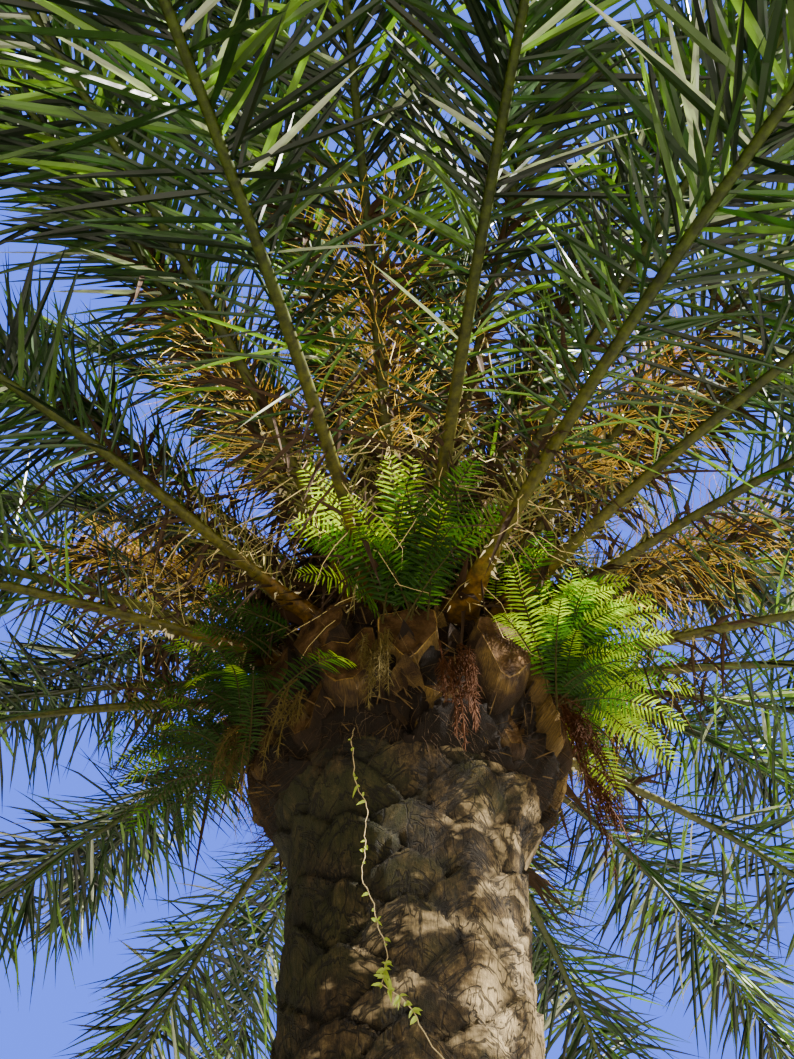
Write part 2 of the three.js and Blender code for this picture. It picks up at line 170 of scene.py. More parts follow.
def round_profile(angles):
    return np.array([(cos(angle), sin(angle)) for angle in angles])


def swept(places, across, over, profile, tips=None):
    """Closed blades, one for each row of places: points and arrays of faces.

    places, across and over are (blades, stations, 3), and across x over runs along the blade.
    The profile is (corners, 2), anticlockwise. A blade ends in its tip, or flat without one.
    """
    blades, stations = places.shape[:2]
    corners = len(profile)
    rings = places[:, :, None] + across[:, :, None] * profile[:, :1] + over[:, :, None] * profile[:, 1:]
    points = rings.reshape(blades, stations * corners, 3)
    if tips is not None:
        points = np.concatenate([points, tips[:, None]], axis=1)
    first = np.arange(blades)[:, None] * points.shape[1]
    j = np.arange(corners)
    following = (j + 1) % corners
    last = (stations - 1) * corners

    def numbered(pattern):
        return (first[:, :, None] + np.asarray(pattern)[None]).reshape(-1, np.shape(pattern)[-1])

    sides = np.concatenate([
        np.stack([j, following, following + corners, j + corners], axis=1) + i * corners
        for i in range(stations - 1)
    ])
    faces = [numbered(sides), numbered([j[::-1]])]
    if tips is None:
        faces.append(numbered([j + last]))
    else:
        faces.append(numbered(np.stack([j + last, following + last, j * 0 + last + corners], axis=1)))
    return points.reshape(-1, 3), faces


def joined(parts):
    """Several (points, faces) as one."""
    points, faces, start = [], [], 0
    for some_points, some_faces in parts:
        points.append(some_points)
        faces += [face + start for face in some_faces]
        start += len(some_points)
    return np.concatenate(points), faces


# The palm's own rule, as in the frame's source

def leaf_rule(k):
    """Where leaf k of the spiral springs from and which way it goes."""
    age = (k + 0.5) / FRONDS
    azimuth = radians(PHASE + TURN * k)
    sway = float(chance(k, 1)) - 0.5
    if k < SPEARS:
        out = k / (SPEARS - 1)
        radius, height = mix(0.018, 0.096, out), 4.19 + mix(0.120, 0.062, out)
    else:
        radius, height = mix(0.060, 0.500, age ** 0.75), mix(4.250, 3.850, age ** 1.3)
    return {
        "k": k,
        "age": age,
        "young": max(0.0, 1 - age / SPREAD_AGE),
        "azimuth": azimuth,
        "origin": beside_stem(azimuth, radius, height),
        "lift": radians(mix(4, 90, age ** 0.765)),
        "tilt": radians(mix(30, 138, age ** 0.573) + 10 * sway),
        "length": mix(3.10, 4.25, min(1, age / SPREAD_AGE)) * (1 + 0.08 * sway),
        "swerve": radians(9) * (float(chance(k, 2)) - 0.5),
    }


def heading(rule, shares):
    bow = mix(rule["lift"], rule["tilt"], np.maximum(0, shares) ** 1.25)
    azimuth = rule["azimuth"] + rule.get("swerve", 0) * shares ** 2
    return leant(UP, outward(azimuth), bow)


def arch(rule, shares):
    """Places along an arched rib, with its directions along, to the left and over."""
    shares = np.asarray(shares, float)
    fine = np.linspace(0, 1, ARCH_STRIDES + 1)
    strides = heading(rule, (fine[1:] + fine[:-1]) / 2) * rule["length"] / ARCH_STRIDES
    walked = np.vstack([np.zeros(3), np.cumsum(strides, axis=0)])
    inside = np.clip(shares, 0, 1)
    places = np.stack([np.interp(inside, fine, walked[:, i]) for i in range(3)], axis=-1)
    behind = np.minimum(shares, 0)[:, None] * rule["length"] * heading(rule, np.zeros(1))
    along = heading(rule, shares)
    left = unit(np.cross(UP, along))
    return rule["origin"] + places + behind, along, left, np.cross(along, left)


def rib_size(rule, shares):
    """Width and thickness of a frond's rib at shares of its length, with a broad clasping foot."""
    to_neck = np.clip(shares / NECK_AT, 0, 1) ** 0.7
    to_tip = np.clip((shares - NECK_AT) / (1 - NECK_AT), 0, 1) ** 0.8
    scale = mix(1, 0.62, rule["young"]) * mix(1, 0.70, to_neck)
    width = mix(mix(0.132, 0.074, to_neck), 0.009, to_tip)
    thickness = mix(mix(0.058, 0.050, to_neck), 0.009, to_tip)
    clasp = np.clip(1 - shares / 0.075, 0, 1.2) ** 1.4 * mix(1, 0.3, rule["young"])
    return scale * width * (1 + 0.62 * clasp), scale * thickness * (1 + 0.3 * clasp)


def stub_rule(n):
    """Where stub n of the bulb stands: the leaves' spiral carried on downwards."""
    down = (n + 0.5) / STUBS
    height = mix(3.77, 3.35, down)
    azimuth = radians(PHASE + TURN * (FRONDS + n))
    return {
        "azimuth": azimuth,
        "origin": beside_stem(azimuth, bulb_radius(height), height),
        "lift": radians(mix(62, 46, down)),
        "proud": 0.096 * (0.6 + 0.7 * float(chance(n, 3))),
    }


def stalk_rule(index):
    """A fruit stalk in the axil of a leaf, counted from the first leaf that bears one."""
    k = FIRST_AXIL + index
    leaf, axil = leaf_rule(k), leaf_rule(k - AXIL_ABOVE)
    height = axil["origin"][2]
    reach = np.linalg.norm(axil["origin"] - stem_at(height))
    return {
        "azimuth": leaf["azimuth"],
        "origin": beside_stem(leaf["azimuth"], reach, height),
        "lift": axil["lift"],
        "tilt": leaf["lift"] + radians(14),
        "length": 1.5,
    }


# Nodes and patterns

def linear(hex_colour):
    """An sRGB hex colour as linear RGBA."""
    shares = [int(hex_colour[i:i + 2], 16) / 255 for i in (0, 2, 4)]
    return (*[s / 12.92 if s <= 0.04045 else ((s + 0.055) / 1.055) ** 2.4 for s in shares], 1.0)


def add(tree, kind, sockets=None, stops=(), **settings):
    """Adds a shader node with its settings, its ramp's (place, hex colour) stops and its sockets.

    A socket takes a number, a vector, a hex colour, an output, or a node, which stands for its
    first output in use.
    """
    node = tree.nodes.new("ShaderNode" + kind)
    for name, value in settings.items():
        setattr(node, name, value)
    for number, (place, colour) in enumerate(stops):
        elements = node.color_ramp.elements
        element = elements[number] if number < len(elements) else elements.new(place)
        element.position = place
        element.color = linear(colour)
    for name, value in (sockets or {}).items():
        if isinstance(value, str):
            value = linear(value)
        if isinstance(value, bpy.types.Node):
            value = next(output for output in value.outputs if output.enabled)
        if isinstance(value, bpy.types.NodeSocket):
            tree.links.new(value, node.inputs[name])
        else:
            node.inputs[name].default_value = value
    return node


def grain_of(tree, where, scale, detail, roughness=0.55, stretch=None):
    """Noise at a scale in lumps per metre, which a stretch sets apart for each axis."""
    if stretch:
        where = add(tree, "Mapping", {"Vector": where, "Scale": stretch})
    return add(tree, "TexNoise", {
        "Vector": where, "Scale": scale, "Detail": detail, "Roughness": roughness,
    })


def thin_lines(tree, noise, width):
    """Lines from 0 to 1 where a noise passes through its middle value."""
    off = add(tree, "Math", {0: noise, 1: 0.5}, operation="SUBTRACT")
    off = add(tree, "Math", {0: off}, operation="ABSOLUTE")
    return add(tree, "MapRange", {0: off, 1: width, 2: 0.2 * width}, interpolation_type="SMOOTHSTEP")


def total(tree, value, *shares):
    """A value with shares of others added, each given as (other, share)."""
    for other, share in shares:
        value = add(tree, "Math", {0: other, 1: share, 2: value}, operation="MULTIPLY_ADD")
    return value


def coated(tree, colour, *coats):
    """A colour under coats, each given as (share, colour) and perhaps how the two blend.

    A share is a number or a pattern, or (pattern, low, high) for patches that fade in from low
    to high.
    """
    for share, coat, *blend in coats:
        if isinstance(share, tuple):
            share = add(tree, "MapRange", dict(enumerate(share)), interpolation_type="SMOOTHSTEP")
        colour = add(tree, "Mix", {0: share, 6: colour, 7: coat}, data_type="RGBA",
                     blend_type=blend[0] if blend else "MIX")
    return colour


def new_material(name):
    """A material and its empty node tree."""
    material = bpy.data.materials.new(name)
    material.use_nodes = True
    material.node_tree.nodes.clear()
    return material, material.node_tree


def surfaced(material, colour, roughness, shine, relief=(), through=0.0, glow=None):
    """Ends a material in its shader.

    The relief is (height, depth in metres, strength), and through is the share of daylight that
    passes, in the colour of the glow.
    """
    tree = material.node_tree
    sockets = {"Base Color": colour, "Roughness": roughness, "Specular IOR Level": shine}
    if relief:
        sockets["Normal"] = add(tree, "Bump", dict(zip(("Height", "Distance", "Strength"), relief)))
    surface = add(tree, "BsdfPrincipled", sockets)
    if through:
        lit = add(tree, "BsdfTranslucent", {"Color": glow})
        surface = add(tree, "MixShader", {0: through, 1: surface, 2: lit})
    add(tree, "OutputMaterial", {"Surface": surface})
    return material


# Materials

def bark_material(settings):
    """Old palm bark, weathered outdoors: dull, fibrous along the stem and soft green where moss holds.
    The sunny side and the lower stem are painted pale, partly bleached bark and partly painted
    sunlight, and the shady side is painted darker. The gaps under each scar and the cracks are
    painted nearly black as shade."""
    material, tree = new_material("weathered_palm_bark")
    place = add(tree, "TexCoord").outputs["Object"]
    painted_shade_and_mottle = add(tree, "Attribute", attribute_name="painted_shade_and_mottle").outputs["Fac"]
    band = add(tree, "Attribute", attribute_name="band").outputs["Vector"]
    # Torn layers 14 mm apart follow each scar's arched edge, and fibres 4 mm apart run up the stem.
    # Thin cracks, painted dark as shade, run upright and along the edges, and moss and pale fibre lie in
    # patches.
    layers = grain_of(tree, band, scale=1, detail=5, roughness=0.7, stretch=(9, 70, 1))
    fibres = grain_of(tree, place, scale=240, detail=4, roughness=0.7, stretch=(1, 1, 0.14))
    flakes = grain_of(tree, place, scale=20, detail=7, roughness=0.75, stretch=(1, 1, 0.7))
    torn = thin_lines(tree, grain_of(tree, band, scale=1, detail=4, stretch=(4, 14, 1)), 0.026)
    upright = thin_lines(tree, grain_of(tree, place, scale=16, detail=3, stretch=(1, 1, 0.3)), 0.016)
    crack = add(tree, "Math", {0: torn, 1: upright}, operation="MAXIMUM")
    # Painted light: the crown shades the stem's top, so lit grows from 0 at 3.1 m to 1 at 2.5 m and the
    # stem is painted paler below it.
    apart = add(tree, "SeparateXYZ", {0: place})
    lit = add(tree, "MapRange", {0: apart.outputs["Z"], 1: 3.1, 2: 2.5}, interpolation_type="SMOOTHSTEP")
    across = total(tree, apart.outputs["X"], (lit, 0.22))
    # Painted light and shade: the side away from the sun, towards -X, holds more moss and is painted
    # darker, and the sunny side is painted pale, partly bleached bark and partly painted sunlight.
    moss = total(tree, grain_of(tree, place, scale=5, detail=4), (across, -0.36))
    bleach_and_painted_sun = total(tree, grain_of(tree, place, scale=6, detail=4, stretch=(1, 1, 2.2)), (across, 0.30))
    # The brown is painted lighter on the sunny side as well.
    brown = add(tree, "ValToRGB", {0: total(tree, flakes, (layers, 0.22), (across, 0.12))},
                [(0.46, "0f0c08"), (0.58, "261f14"), (0.70, "463a26"), (0.84, "7a6a48")])
    weave = add(tree, "ValToRGB", {0: fibres}, [(0.3, "46403a"), (0.7, "cfc4ae")])
    colour = coated(tree, brown,
                    ((moss, 0.34, 0.60), settings.moss_hex),
                    (0.45, brown),
                    ((bleach_and_painted_sun, 0.60, 0.74), settings.bleached_and_sunlit_hex),
                    (0.65, weave, "OVERLAY"),
                    # Painted shade: the cracks and the gaps under the scars take the near-black painted
                    # shade colour.
                    (total(tree, 0, (crack, 0.8)), settings.painted_shade_hex),
                    (painted_shade_and_mottle, settings.painted_shade_hex))
    height = total(tree, flakes, (fibres, 0.3), (layers, 0.3), (crack, -0.5))
    return surfaced(material, colour, roughness=0.93, shine=0.25, relief=(height, 0.014, 1))


def leaf_base_material(name, dark, middle, light):
    """The back of a sawn leaf base: woody, hard, ribbed with fibres along the leaf and dull. It is
    darkened with painted shade towards a base's foot and in the gaps of the bulb's body, and with
    random mottle on the scraps."""
    material, tree = new_material(name)
    along = add(tree, "Attribute", attribute_name="grain").outputs["Vector"]
    place = add(tree, "TexCoord").outputs["Object"]
    painted_shade_and_mottle = add(tree, "Attribute", attribute_name="painted_shade_and_mottle").outputs["Fac"]
    # Fibres 3 mm apart along the base, and stains the width of a hand.
    fibres = grain_of(tree, along, scale=330, detail=3, roughness=0.6, stretch=(1, 1, 0.06))
    stains = grain_of(tree, place, scale=13, detail=4)
    # One tone for each base, from a noise so coarse that a base lies in one lump of it.
    own = grain_of(tree, along, scale=0.45, detail=0)
    tone = add(tree, "ValToRGB", {0: total(tree, own, (stains, 0.8), (0.15, -1))},
               [(0.50, dark), (0.75, middle), (0.98, light)])
    weave = add(tree, "ValToRGB", {0: fibres}, [(0.3, "3d362c"), (0.7, "c9bb9c")])
    # Painted shade, and the scraps' random mottle, darken the colour towards near black.
    colour = coated(tree, tone, (0.8, weave, "OVERLAY"), (painted_shade_and_mottle, "150e08"))
    height = total(tree, fibres, (stains, 1.5))
    return surfaced(material, colour, roughness=0.8, shine=0.15, relief=(height, 0.006, 0.8))


def cut_face_material(settings):
    """The sawn face of a leaf base: spongy pith dried orange-brown, dotted with fibre ends."""
    material, tree = new_material("sawn_leaf_base_pith")
    place = add(tree, "TexCoord").outputs["Object"]
    # Fibre ends are 5 mm apart, drawn twice as coarse as life so that they show.
    ends = add(tree, "TexVoronoi", {"Vector": place, "Scale": 100})
    pith = add(tree, "ValToRGB", {0: grain_of(tree, place, scale=17, detail=4)},
               [(0.30, "20160d"), (0.5, settings.cut_hex), (0.74, "5e4a30")])
    dots = add(tree, "ValToRGB", {0: ends}, [(0.1, "b99a6c"), (0.5, "6b4a2c")])
    colour = coated(tree, pith, (0.35, dots, "OVERLAY"))
    return surfaced(material, colour, roughness=0.88, shine=0.08, relief=(ends, 0.003, 0.8))


def rib_material():
    """A living leaf stalk: a hard waxy skin, orange-brown at its foot, olive and then green."""
    material, tree = new_material("waxy_leaf_stalk")
    along = add(tree, "Attribute", attribute_name="along").outputs["Fac"]
    place = add(tree, "TexCoord").outputs["Object"]
    # Blotches 60 mm across, and speckles 30 mm across. The speckles' strong overlay is partly skin mottle
    # and partly painted dappled shade and light from the leaves overhead.
    blotches = grain_of(tree, place, scale=16, detail=4)
    skin = add(tree, "ValToRGB", {0: total(tree, along, (blotches, 0.16))},
               [(0.07, "2a1a08"), (0.13, "6a4c10"), (0.19, "4e4a0c"), (0.42, "323c08"), (0.95, "44580e")])
    speckles_and_dapples = add(tree, "ValToRGB", {0: grain_of(tree, place, scale=34, detail=5, roughness=0.7)},
                   [(0.38, "3a3a32"), (0.66, "b8b8a0")])
    colour = coated(tree, skin, (0.8, speckles_and_dapples, "OVERLAY"))
    return surfaced(material, colour, roughness=0.5, shine=0.16, relief=(blotches, 0.002, 0.4))


def blade_material(name, colour, roughness=0.4, through=0.3, glow=None, shine=0.2):
    """A leaf blade: leathery and waxy on top, with some daylight coming through it."""
    return surfaced(new_material(name)[0], colour, roughness, shine, through=through,
                    glow=glow or colour)


def dry_material(name, colour, roughness=0.8):
    """Dried plant fibre: dull, brittle and matt."""
    return surfaced(new_material(name)[0], colour, roughness, shine=0.1)


# Pieces

def finished(piece, replaced=()):
    """A piece rides on the palm and stands for the named nodes."""
    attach(piece, "root")
    if replaced:
        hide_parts(*replaced)


def set_attributes(mesh, attributes):
    """Stores numbers or vectors on the mesh's points, for the materials."""
    for label, values in attributes.items():
        vector = np.ndim(values) == 2
        attribute = mesh.attributes.new(label, "FLOAT_VECTOR" if vector else "FLOAT", "POINT")
        attribute.data.foreach_set("vector" if vector else "value", np.asarray(values, np.float32).ravel())


def piece_of(name, shape, materials, replaced=(), rounded=False, face_materials=None,
             attributes=None):
    """A finished piece from its points and arrays of faces."""
    points, faces = shape
    mesh = bpy.data.meshes.new(name)
    counts = np.concatenate([np.full(len(face), face.shape[1]) for face in faces])
    corners = np.concatenate([face.ravel() for face in faces])
    mesh.vertices.add(len(points))
    mesh.vertices.foreach_set("co", np.asarray(points, np.float32).ravel())
    mesh.loops.add(len(corners))
    mesh.loops.foreach_set("vertex_index", corners.astype(np.int32))
    mesh.polygons.add(len(counts))
    starts = np.concatenate([[0], np.cumsum(counts)[:-1]])
    mesh.polygons.foreach_set("loop_start", starts.astype(np.int32))
    for material in materials:
        mesh.materials.append(material)
    if face_materials is not None:
        mesh.polygons.foreach_set("material_index", np.asarray(face_materials, np.int32))
    mesh.polygons.foreach_set("use_smooth", np.full(len(counts), rounded))
    set_attributes(mesh, attributes or {})
    mesh.update(calc_edges=True)
    mesh.validate()
    piece = bpy.data.objects.new(name, mesh)
    bpy.context.scene.collection.objects.link(piece)
    finished(piece, replaced)
    return piece


def clear_selection():
    if bpy.context.mode != "OBJECT":
        bpy.ops.object.mode_set(mode="OBJECT")
    bpy.ops.object.select_all(action="DESELECT")


def points_of(mesh):
    points = np.empty(len(mesh.vertices) * 3, np.float32)
    mesh.vertices.foreach_get("co", points)
    return points.reshape(-1, 3).astype(float)


def wrapped_grid(name, grid):
    """A grid to be wrapped round the stem: turns from 0 to 1 and heights from 0 to 1."""
    clear_selection()
    bpy.ops.mesh.primitive_grid_add(x_subdivisions=grid[0], y_subdivisions=grid[1], size=1,
                                    location=(0, 0, 0))
    piece = bpy.context.object
    piece.name = piece.data.name = name
    flat = points_of(piece.data)
    return piece, flat[:, 0] + 0.5, flat[:, 1] + 0.5


def close_round(piece, points, attributes):
    """Puts the grid's points round the stem, joins its seam and closes both ends."""
    mesh = piece.data
    mesh.vertices.foreach_set("co", np.asarray(points, np.float32).ravel())
    set_attributes(mesh, attributes)
    mesh.update()
    bpy.ops.object.mode_set(mode="EDIT")
    bpy.ops.mesh.select_all(action="SELECT")
    bpy.ops.mesh.remove_doubles(threshold=1e-5)
    bpy.ops.mesh.select_all(action="DESELECT")
    bpy.ops.mesh.select_mode(type="EDGE")
    bpy.ops.mesh.select_non_manifold()
    bpy.ops.mesh.edge_face_add()
    bpy.ops.mesh.select_all(action="SELECT")
    bpy.ops.mesh.normals_make_consistent(inside=False)
    bpy.ops.object.mode_set(mode="OBJECT")
    bpy.ops.object.shade_smooth()


def scar_relief(turns, height, around, row, arched, depth, torn):
    """The leaf scars that wrap the stem, each with an arched upper edge that stands over the foot
    of the scars above it: their relief in metres, their painted shade from 0 to 1, darkest at the
    foot of each scar just above the edge below it, and their band, which gives the place along an
    edge, the depth under it, and a number for each scar."""
    ragged = patches(turns, height, 70, 0.05, 13) + patches(turns, height, 190, 0.09, 14) - 1
    covered = np.zeros(len(turns), bool)
    top = np.full(len(turns), 1e3)
    below = np.full(len(turns), -1e3)
    thick, own = np.zeros(len(turns)), np.zeros(len(turns))
    for number in range(int(height.min() / row) - 4, int(height.max() / row) + 3):
        lane = turns * around + 0.5 * (number % 2)
        scar = np.floor(lane)
        across = 2 * np.abs(lane - scar - 0.5)
        key = number * 37 + scar % around
        edge = number * row + arched * (0.6 + 0.8 * chance(key, 5)) * (1 - across ** 1.25)
        edge += 0.7 * row * (chance(key, 6) - 0.5) + torn * row * ragged
        fresh = ~covered & (edge > height)
        top = np.where(fresh, edge, top)
        thick = np.where(fresh, 0.6 + 0.8 * chance(key, 7), thick)
        own = np.where(fresh, chance(key, 8), own)
        covered |= fresh
        below = np.where(covered, below, np.maximum(below, edge))
    under_edge = top - height
    climb = np.clip(1 - under_edge / (2.6 * row), 0, 1)
    lip = smooth(under_edge / (0.09 * row))
    # Painted shade at the foot of each scar, just above the edge of the scar below, fading upwards; it also
    # sinks the relief there.
    shadow = 0.7 + 0.3 * patches(turns, height, 23, 0.11, 15)
    painted_shade_and_mottle = shadow * np.exp(-np.maximum(0, height - below) / (0.22 * row))
    relief = depth * thick * climb * lip - 0.5 * depth * painted_shade_and_mottle
    band = np.stack([turns * 2 * pi * STEM_RADIUS, under_edge, 5 * own], axis=1)
    return relief, painted_shade_and_mottle, band


def fanned(along, side, over, sweep, rise):
    """Unit directions that sweep from along towards the side, and rise from there."""
    return unit(along * np.cos(sweep)[:, None] + side * (np.sin(sweep) * np.cos(rise))[:, None]
                + over * (np.sin(sweep) * np.sin(rise))[:, None])


THREAD_PROFILE = round_profile((pi / 2, pi * 7 / 6, pi * 11 / 6))
RIB_PROFILE = 0.5 * np.array([
    (-1, 0.1), (-0.84, -0.55), (-0.4, -0.95), (0.4, -0.95), (0.84, -0.55), (1, 0.1),
    (0.74, 0.66), (0.26, 0.85), (-0.26, 0.85), (-0.74, 0.66),
])
FERN_RIB_PROFILE = 0.5 * np.array([(-1, 0), (0, -1), (1, 0), (0, 1)])
LEAFLET_PROFILE = np.array([(-0.5, 0.17), (0, -0.12), (0.5, 0.17), (0, 0.0)])
LEAFLET_STATIONS = np.array([0.0, 0.3, 0.7])
LEAFLET_WIDTHS = np.array([0.55, 1.0, 0.72])


def rods(rules, shares, sizes, tip, profile=RIB_PROFILE):
    """Ribs or stalks along their arches, with (width, thickness) sizes and tips of one length."""
    blades = []
    for rule, (width, thickness) in zip(rules, sizes):
        places, along, left, over = arch(rule, shares)
        blades.append((places, left * width[:, None], over * thickness[:, None],
                       places[-1] + along[-1] * tip))
    places, across, over, tips = (np.stack(part) for part in zip(*blades))
    return swept(places, across, over, profile, tips)


def threads(roots, ways, length, sag, radius, stations=4, curl=0.0):
    """Thin three-sided threads that leave their roots, wave and sag under their own weight."""
    shares = np.linspace(0, 0.86, stations)[None, :, None]
    length, sag = np.reshape(length, (-1, 1, 1)), np.reshape(sag, (-1, 1, 1))
    radius = np.broadcast_to(np.reshape(radius, (-1, 1, 1)), length.shape)
    across = unit(np.cross(np.array([0.31, 0.22, 0.92]), ways))
    over = np.cross(ways, across)
    phase = 2 * pi * chance(np.arange(len(roots)), 40)[:, None, None]

    def at(share):
        wave = across[:, None] * np.sin(5.5 * share + phase) + over[:, None] * np.cos(7 * share + phase)
        return (roots[:, None] + ways[:, None] * length * share - UP * length * sag * share ** 2 * 0.5
                + wave * length * curl * share)

    thinner = radius * (1 - 0.6 * shares)
    return swept(at(shares), across[:, None] * thinner, over[:, None] * thinner, THREAD_PROFILE,
                 at(np.ones((1, 1, 1)))[:, 0])


def leaf_blades(roots, ways, overs, lengths, widths, droop, stations=3):
    """Folded blades with a keel, one for each root, that droop a little towards their tips."""
    shares = LEAFLET_STATIONS[None, :stations, None]
    overs = unit(overs - ways * np.sum(overs * ways, axis=1, keepdims=True))
    across = np.cross(overs, ways)
    length, sag = lengths[:, None, None], droop[:, None, None]

    def at(share):
        return roots[:, None] + ways[:, None] * length * share - UP * sag * length * share ** 2

    span = widths[:, None, None] * LEAFLET_WIDTHS[None, :stations, None]
    return swept(at(shares), across[:, None] * span, overs[:, None] * span, LEAFLET_PROFILE,
                 at(np.ones((1, 1, 1)))[:, 0])


# Settings

class TrunkSettings(PropertyGroup):
    scars_round: IntProperty(
        name="Scars round the stem", description="Leaf scars side by side round the stem",
        default=6, min=5, max=16)
    scar_row: FloatProperty(
        name="Scar row height", description="From one row of scars to the next",
        default=0.092, unit="LENGTH")
    scar_arch: FloatProperty(
        name="Scar arch", description="Rise of a scar's arched upper edge",
        default=0.14, unit="LENGTH")
    relief: FloatProperty(
        name="Relief", description="How far a scar's edge stands out of the stem",
        default=0.024, unit="LENGTH")
    moss_hex: StringProperty(
        name="Moss", description="sRGB colour of moss on the bark", default="2a3010")
    # A pale colour that stands partly for sun-bleached bark and partly for painted sunlight.
    bleached_and_sunlit_hex: StringProperty(
        name="Bleached bark", description="sRGB colour of sun-bleached bark", default="a8987a")
    # The painted shade in the gaps under the scars and in the cracks.
    painted_shade_hex: StringProperty(
        name="Gaps", description="sRGB colour in the gaps under scars", default="0d0a07")


class LeafBaseSettings(PropertyGroup):
    width: FloatProperty(
        name="Width", description="Width of a sawn leaf base", default=0.23, unit="LENGTH")
    thickness: FloatProperty(
        name="Thickness", description="Thickness of a sawn leaf base", default=0.172, unit="LENGTH")
    steeper: FloatProperty(
        name="Steeper", description="How much more upright than its leaf a leaf base stands",
        default=radians(12), unit="ROTATION")
    lower: FloatProperty(
        name="Lower", description="How far a leaf base's middle lies below its leaf's",
        default=0.05, unit="LENGTH")
    scraps: IntProperty(
        name="Scraps", description="Torn scraps of older leaf bases between the sawn ones",
        default=420, min=1)
    fibres: IntProperty(
        name="Fibres", description="Loose fibres that hang between the leaf bases",
        default=1500, min=1)
    cut_hex: StringProperty(
        name="Sawn face", description="sRGB colour of the sawn faces", default="3c2c16")


class FrondSettings(PropertyGroup):
    leaflets: IntProperty(
        name="Leaflets a side", description="Leaflets along each side of a frond",
        default=230, min=12)
    width: FloatProperty(
        name="Leaflet width", description="Greatest width of a leaflet", default=0.026,
        unit="LENGTH")
    spines: IntProperty(
        name="Spines a side", description="Stiff spines along each side of a frond's stalk",
        default=14, min=1)
    spray: IntProperty(
        name="Spray", description="Neighbouring leaflets that share a tint", default=5, min=1)


class FruitSettings(PropertyGroup):
    strands: IntProperty(
        name="Strands", description="Strands on each fruit stalk", default=360, min=30)
    strand: FloatProperty(
        name="Strand length", description="Length of a fruit strand", default=0.36, unit="LENGTH")


class FernSettings(PropertyGroup):
    fullness: FloatProperty(
        name="Fullness", description="Number of fern fronds against the photograph's",
        default=1.0, min=0.1)
    pairs: IntProperty(
        name="Pairs of pinnae", description="Pairs of pinnae on each fern frond", default=26, min=4)
    pinna: FloatProperty(
        name="Pinna length", description="Length of the longest pinnae", default=0.105,
        unit="LENGTH")


class StageSettings(PropertyGroup):
    floor: FloatProperty(
        name="Floor", description="Side of the square floor", default=40.0, unit="LENGTH")
    key: FloatProperty(
        name="Key light", description="Strength of the high key light", default=58.0, min=0)
    fill: FloatProperty(
        name="Fill light", description="Power of the low fill light", default=10.0, min=0)


# The trunk and the bulb

class PALM_OT_trunk(Operator):
    """Bark with arched leaf scars round the whole trunk"""

    bl_idname = "date_palm.trunk"
    bl_label = "Trunk bark"

    def execute(self, context):
        settings = context.scene.palm_trunk
        piece, turns, share = wrapped_grid("trunk_bark", BARK_GRID)
        height = share * BARK_TOP
        relief, painted_shade_and_mottle, band = scar_relief(turns, height, settings.scars_round, settings.scar_row,
                                           settings.scar_arch, settings.relief, torn=0.08)
        cracks = patches(turns, height, 118, 0.13, 11)
        chips = patches(turns, height, 90, 0.03, 12)
        relief += 0.008 * (smooth(cracks * 3) - 0.7) + 0.004 * (chips - 0.5)
        relief *= smooth(height / 0.03)
        points = beside_stem(2 * pi * turns, bark_radius(height) + relief, height)
        # Painted shade: the gaps under the scars, and the cracks, are painted darker.
        dark = np.clip(painted_shade_and_mottle + 0.3 * (1 - smooth(cracks * 4)), 0, 1)
        close_round(piece, points, {"painted_shade_and_mottle": dark, "band": band})
        piece.data.materials.append(bark_material(settings))
        finished(piece, ["trunk"])
        return {"FINISHED"}


def leaf_base_template(materials):
    """One leaf base, modelled once: a keeled stump with a rim and a sunken sawn face. Its section
    is one unit wide and thick, and it grows one unit along +Z."""
    clear_selection()
    half = [(0.30, 0.5), (0.46, 0.45), (0.5, 0.28), (0.48, 0.02), (0.33, -0.22), (0.15, -0.44)]
    section = [(0, 0.42), *half, (0, -0.5), *((-x, y) for x, y in reversed(half))]
    bpy.ops.mesh.primitive_circle_add(vertices=len(section), radius=0.5, fill_type="NGON",
                                      location=(0, 0, 0))
    piece = bpy.context.object
    mesh = piece.data
    for material in materials:
        mesh.materials.append(material)
    # The upper side is nearly flat with a shallow channel, and the back is keeled.
    clockwise = sorted(mesh.vertices, key=lambda point: np.arctan2(point.co.x, point.co.y) % (2 * pi))
    for vertex, (x, y) in zip(clockwise, section):
        vertex.co = (x, y, 0)
    bpy.ops.object.mode_set(mode="EDIT")
    bpy.ops.mesh.select_all(action="SELECT")
    bpy.ops.transform.resize(value=(0.38, 0.42, 1))
    for step, wide, tall in (
        (0.24, 1.9, 1.7), (0.20, 1.3, 1.25), (0.20, 1.08, 1.1), (0.20, 0.97, 1.0), (0.16, 0.94, 0.97),
    ):
        bpy.ops.mesh.extrude_region_move(TRANSFORM_OT_translate={"value": (0, 0, step)})
        bpy.ops.transform.resize(value=(wide, tall, 1), center_override=(0, 0, 0))
    # The rim has the third material, and the steps down to the pith and the pith the second.
    for slot, thickness, depth in (
        (2, 0.016, 0.0), (1, 0.012, -0.006), (1, 0.07, 0.004), (1, 0.06, -0.004),
    ):
        piece.active_material_index = slot
        bpy.ops.object.material_slot_assign()
        bpy.ops.mesh.inset(thickness=thickness, depth=depth)
    bpy.ops.object.mode_set(mode="OBJECT")
    bpy.ops.object.modifier_add(type="BEVEL")
    piece.modifiers[-1].width = 0.014
    piece.modifiers[-1].angle_limit = radians(24)
    bpy.ops.object.modifier_apply(modifier=piece.modifiers[-1].name)
    points, faces, slots = points_of(mesh), [], []
    for corners in sorted({face.loop_total for face in mesh.polygons}):
        alike = [face for face in mesh.polygons if face.loop_total == corners]
        faces.append(np.array([face.vertices[:] for face in alike]))
        slots += [face.material_index for face in alike]
    bpy.data.objects.remove(piece)
    bpy.data.meshes.remove(mesh)
    return points, faces, slots


